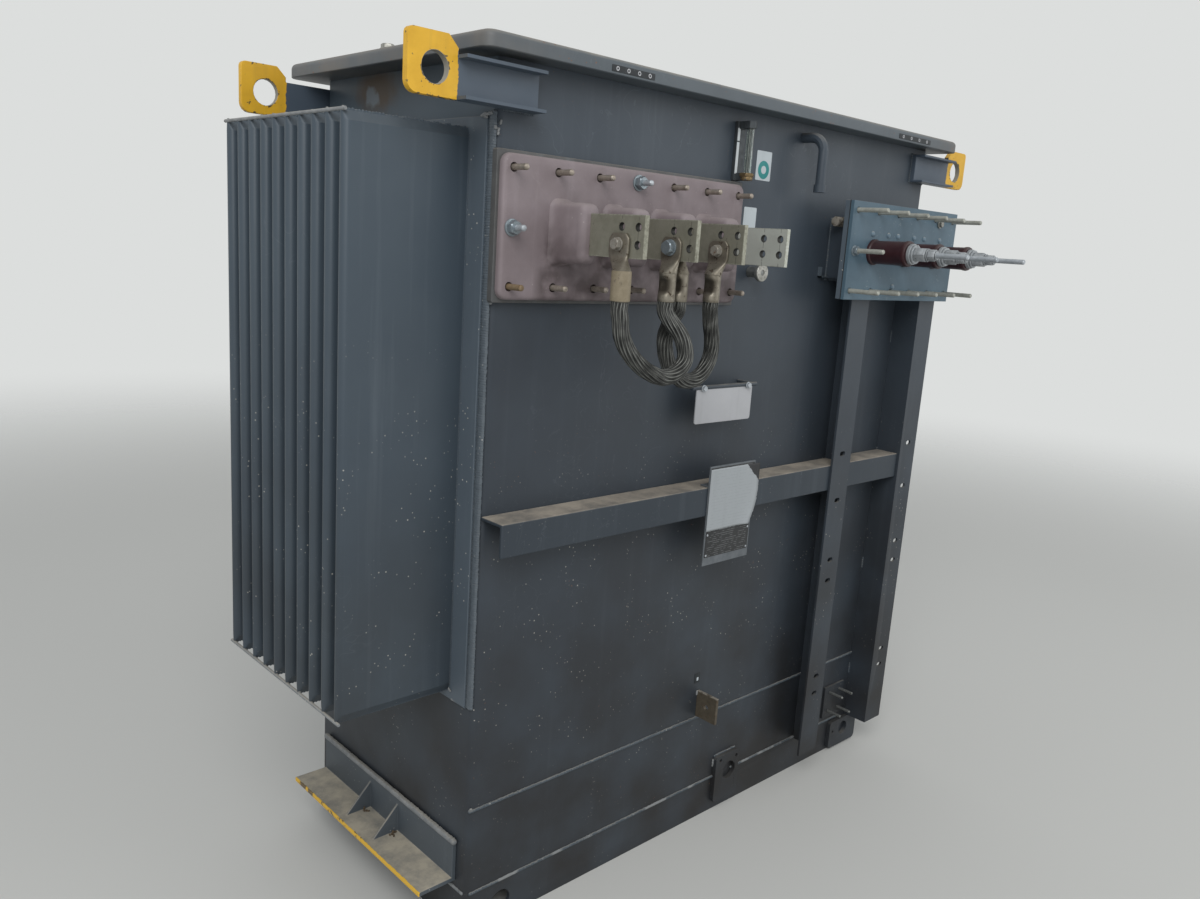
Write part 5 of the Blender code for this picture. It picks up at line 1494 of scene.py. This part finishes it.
def makeSign(look):
    low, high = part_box("sign_board")
    bar, tip = look["bar"], look["bar"] * 0.6
    y, z = low.y + bar, high.z - bar
    left, right = low.x + look["extra"], high.x - look["extra"]
    shape = bmesh.new()
    tablet(shape, (left, right), (low.z, z - 0.001), y + look["thick"] / 2, thick=look["thick"],
           edge=0.0008, radius=look["corner"])
    newPiece("sign_sheet", shape, whiteEnamel, ("sign_board",))
    shape = bmesh.new()
    run = high.x - low.x
    turned(shape, ((0, tip), (0.0012, bar), (run - 0.0012, bar), (run, tip)),
           aim((low.x, y + 0.001, z), (1, 0, 0)), 16)
    for x in (low.x + look["extra"] / 2, high.x - look["extra"] / 2):
        turned(shape, ((0, look["arm"]), (frontY - y, look["arm"])), aim((x, y, z), (0, 1, 0)), 14)
    newPiece("sign_bar", shape, tankEnamel)
    bolts = [(left + share, y - 0.004, z - 0.001) for share in look["bolts"]]
    scatter("sign_bolts", "zinc_hardware", brightZinc, bolts, 7, nutOnPlate, *look["nut"])


makeSign(signLook)

# Nameplate: a steel sheet, a black rating plate without words, and a blank white sheet that has begun to peel
plateLook = {
    "margin": 0.004,
    "blackLow": 0.020,
    "rivet": ((0, 0.0028), (0.0008, 0.0026), (0.0014, 0.0016)),
    "rivetIn": 0.009,
    "rivetUp": (0.005, 0.055),
    "whiteTall": 0.148,
    "overhang": 0.013,
    "lift": 0.007,
    "cols": 20,
    "rows": 36,
}


def makeNameplate(look):
    low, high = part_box("nameplate")
    softCopy("nameplate", sheetSteel, 0.0006)
    margin, foot = look["margin"], low.z + look["blackLow"]
    shape = bmesh.new()
    tablet(shape, (low.x + margin, high.x - margin), (foot, high.z - margin), low.y + 0.0003, thick=0.0010,
           edge=0.0003, radius=0.002, steps=3)
    newPiece("rating_plate", shape, blackPlate)
    spots = [(x, low.y - 0.0006, foot + up) for x in (low.x + look["rivetIn"], high.x - look["rivetIn"])
             for up in look["rivetUp"]]
    scatter("rating_plate_rivets", "zinc_hardware", brightZinc, spots, 9, turned, look["rivet"], forward, 12)


def makePeelingSheet(look):
    # it lifts off towards its right edge, which is torn back further the lower it is
    low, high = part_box("nameplate")
    chance = np.random.default_rng(21)
    left, top = low.x + 0.002, high.z - 0.007
    shape = bmesh.new()
    grid = []
    for v in np.linspace(0, 1, look["rows"]):
        torn = max(0.0, (v - 0.42) / 0.58)
        right = high.x + look["overhang"] - 0.030 * torn**1.7 + chance.uniform(-0.0012, 0.0012) * (torn > 0)
        ragged = chance.uniform(-0.0006, 0.0006) * (v == 1)
        line = []
        for u in np.linspace(0, 1, look["cols"]):
            lift = look["lift"] * max(0, (u - 0.72) / 0.28) ** 2 * (0.35 + 0.65 * torn)
            line.append((left + u * (right - left), low.y - 0.0014 - lift,
                         top - v * look["whiteTall"] + ragged))
        grid.append([shape.verts.new(p) for p in line])
    for above, below in zip(grid, grid[1:]):
        for i in range(len(above) - 1):
            shape.faces.new((above[i], below[i], below[i + 1], above[i + 1]))
    thick = newPiece("peeling_sheet", shape, paperFoil).modifiers.new("thickness", "SOLIDIFY")
    thick.thickness = 0.0005
    thick.offset = 0


makeNameplate(plateLook)
makePeelingSheet(plateLook)

# Pad with four threaded studs, and the bumps and the plug on the high-voltage plate
padLook = {
    "reach": 0.049,
    "stud": 0.0042,
    "thread": 0.0015,
    "apart": (0.050, 0.060),
    "edge": 0.0012,
    "corner": 0.003,
    "thick": 0.006,
}
bumps = {
    "places": ((1.103, 1.54), (1.177, 1.54), (1.223, 1.54), (1.304, 1.54), (1.356, 1.54), (1.439, 1.54),
               (1.225, 1.411)),
    "bump": ((0, 0.0070), (0.0022, 0.0067), (0.0040, 0.0052), (0.0050, 0.0026)),
    "plug": (1.428, 1.584),
    "washer": ((0, 0.0112), (0.004, 0.0112), (0.0048, 0.0100)),
    "head": (0.0150, 0.006, 0.0048),
}


def makePad(look):
    low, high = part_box("stud_pad")
    shape = bmesh.new()
    tablet(shape, (low.x, high.x), (low.z, high.z), high.y, thick=look["thick"], edge=look["edge"],
           radius=look["corner"])
    newPiece("stud_pad_plate", shape, tankEnamel, ("stud_pad",))
    x, _, z = middleOf("stud_pad")
    wide, tall = look["apart"]
    places = [(x + a * wide / 2, high.y - look["thick"] / 2, z + b * tall / 2) for a in (-1, 1)
              for b in (-1, 1)]
    rods("pad_studs", gaugeSteel, places, look["reach"], look["stud"], look["thread"])


def makeBumps(look):
    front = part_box("hv_plate")[0].y + 0.0005
    places = [(leftX + x, front, z) for x, z in look["places"]]
    scatter("plate_bumps", "plate_paint", bumpEnamel, places, 10, turned, look["bump"], forward, 16)
    x, z = look["plug"]
    place = aim((leftX + x, front, z), (0, -1, 0))
    shape = bmesh.new()
    turned(shape, look["washer"], place)
    hexagon(shape, place, *look["head"])
    newPiece("plate_plug", shape, zincPlate)


makePad(padLook)
makeBumps(bumps)
print("stage: fittings and labels made")

# Weld beads
weldLook = {
    "high": 0.2976,
    "low": 0.1,
    "bead": 0.0037,
    "band": 0.0115,
    "footBead": 0.0068,
    "stitch": 0.045,
    "gap": 0.20,
    "lugFoot": 1.695,
    "lugHead": 1.768,
    "lugWide": 0.080,
    # blobs where runs stop, on the front wall's left edge: across, up, height
    "blobs": ((0.004, 0.2976, 0.005), (0.003, 1.652, 0.008), (0.008, 1.671, 0.003), (-0.003, 1.662, 0.002),
              (0.0, 1.612, 0.004), (0.001, 1.350, 0.006), (0.0, 1.500, 0.003), (0.001, 1.560, 0.005),
              (-0.001, 1.450, 0.002)),
    "frameBlobs": (((-0.005, 0.010, 0.003), (-0.007, 0.036, 0.0)),
                   ((-0.007, 0.022, -0.003), (-0.007, 0.030, -0.002))),
    # earth on the feet, by the gussets: their places from the middle
    "heaps": (-0.077, 0.043),
}
skinY = frontY - 0.0002
postLeft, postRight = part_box("post_left"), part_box("post_right")
eyeLeft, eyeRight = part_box("pull_eye_left"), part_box("pull_eye_right")
finLow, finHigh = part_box("fin_bank")


def stitches(start, end, long, gap):
    # short runs along one line
    start, end = Vector(start), Vector(end)
    run = (end - start).length
    ahead = (end - start) / run
    count = max(1, int((run - long) / gap) + 1)
    first = (run - (count - 1) * gap - long) / 2
    return [[start + ahead * (first + i * gap), start + ahead * (first + i * gap + long)]
            for i in range(count)]


def around(x, y, z):
    # closed path round a plate on the front wall
    corners = [(min(x), y, min(z)), (max(x), y, min(z)), (max(x), y, max(z)), (min(x), y, max(z))]
    return corners + corners[:1]


def makeSeams(look):
    # level seams of the tank, between what covers them
    high, low = look["high"], look["low"]
    seams = [[(a, y, z), (b, y, z)] for a, b, y, z in (
        (leftX + 0.003, postLeft[1].x - 0.008, skinY, high),
        (postLeft[1].x + 0.002, postRight[0].x - 0.002, skinY, high),
        (leftX + 0.008, rightX - 0.008, backY, high),
        (leftX + 0.012, eyeLeft[0].x + 0.028, frontY, low),
        (eyeLeft[0].x + 0.078, eyeRight[0].x + 0.050, frontY, low),
        (eyeRight[1].x - 0.030, rightX - 0.012, frontY, low),
        (leftX + 0.012, rightX - 0.012, backY, low))]
    seams += [[(x, frontY + 0.012, low), (x, backY - 0.012, low)] for x in (leftX, rightX)]
    beads("seam_welds", weldEnamel, seams, spacing=0.0028, bead=look["bead"], wander=0.00025,
          seed=11, spread=(0.86, 1.12))


def makeFrameWelds(look):
    # round the fins' frame, and the wide soft bead that fills the strip between it and each tank corner
    x = leftX - 0.002
    edges = [[(x, y, finLow.z), (x, y, finHigh.z)] for y in (finLow.y, finHigh.y)]
    edges.append([(x, finLow.y, finLow.z), (x, finHigh.y, finLow.z)])
    beads("frame_welds", finEnamel, edges, spacing=0.0034, bead=0.0026, wander=0.0004, seed=17)
    x = leftX - 0.0005
    strips = [[(x, y, finLow.z + 0.006), (x, y, finHigh.z + 0.004)]
              for y in ((finLow.y + frontY) / 2, (finHigh.y + backY) / 2)]
    beads("corner_weld", bandEnamel, strips, spacing=0.0048, bead=look["band"], wander=0.0005,
          seed=18, spread=((0.38, 0.92, 0.48), (0.48, 1.08, 0.62)))


def makeJointWelds(look):
    # round the neck, above the left eye, along the posts and the back rail, and round the lifting lugs
    low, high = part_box("hv_plate")
    neckX, neckZ = hvLook["insetX"], hvLook["insetZ"]
    paths = [around((low.x + neckX, high.x - neckX), skinY, (low.z + neckZ, high.z - neckZ))]
    low, high = eyeLeft
    paths.append([(low.x + 0.004, skinY, high.z), (high.x - 0.010, skinY, high.z)])
    for x, (low, high) in ((postLeft[1].x, postLeft), (postRight[0].x, postRight)):
        paths += stitches((x, skinY, low.z + 0.1), (x, skinY, high.z - 0.1), look["stitch"] * 0.6,
                          look["gap"] * 1.7)
    low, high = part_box("rail_back")
    paths += stitches((low.x + 0.02, backY, high.z), (high.x - 0.02, backY, high.z), look["stitch"],
                      look["gap"])
    foot, head = look["lugFoot"], look["lugHead"]
    for end, side in ((leftX, 1), (rightX, -1)):
        near, far = end + side * 0.012, end + side * look["lugWide"]
        for y in (skinY, backY):
            paths += [[(near, y, z), (far, y, z)] for z in (foot, head)]
            paths.append([(far, y, foot), (far, y, head)])
    beads("joint_welds", weldEnamel, paths, spacing=0.0046, bead=0.0033, wander=0.0006, seed=12)
    paths = []
    for node, x in (("foot_left", leftX - 0.008), ("foot_right", rightX + 0.008)):
        low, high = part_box(node)
        paths.append([(x, low.y, high.z), (x, high.y, high.z)])
    beads("foot_welds", paleWeld, paths, spacing=0.0034, bead=look["footBead"], wander=0.0003,
          seed=13, spread=(0.92, 1.08))


def makeBlobs(look):
    paths = [[(leftX + x, skinY, z), (leftX + x + 0.001, skinY, z + tall)] for x, z, tall in look["blobs"]]
    # two more by the fins' frame: out, back and up at each end
    paths += [[(leftX + x, frontY + y, finHigh.z + z) for x, y, z in ends] for ends in look["frameBlobs"]]
    eyeX, high = eyeLeft[0].x - 0.001, look["high"]
    earthX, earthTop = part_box("earth_terminal")[0].x - 0.001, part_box("earth_terminal")[1].z
    paths += [[(a, skinY, c), (b, skinY, d)] for a, b, c, d in (
        (eyeX, eyeX, 0.132, 0.148),
        (postLeft[1].x - 0.006, postLeft[1].x, high, high),
        (postRight[0].x, postRight[0].x + 0.006, high, high),
        (earthX, earthX, earthTop - 0.010, earthTop - 0.002))]
    beads("weld_blobs", paleWeld, paths, spacing=0.0026, bead=0.0031, wander=0.0010, seed=16)


def makeGrit(look):
    # earth and grit left at the gussets' feet
    heaps = []
    for node, x in (("foot_left", leftX - 0.030), ("foot_right", rightX + 0.030)):
        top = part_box(node)[0].z + 0.0105
        heaps += [[(x, middleY + y, top), (x + 0.004, middleY + y + 0.010, top)] for y in look["heaps"]]
    beads("grit", gritEarth, heaps, spacing=0.0012, bead=0.0028, wander=0.0075, seed=19,
          spread=(0.5, 1.4))


for makeSome in (makeSeams, makeFrameWelds, makeJointWelds, makeBlobs, makeGrit):
    makeSome(weldLook)
print("stage: welds laid")
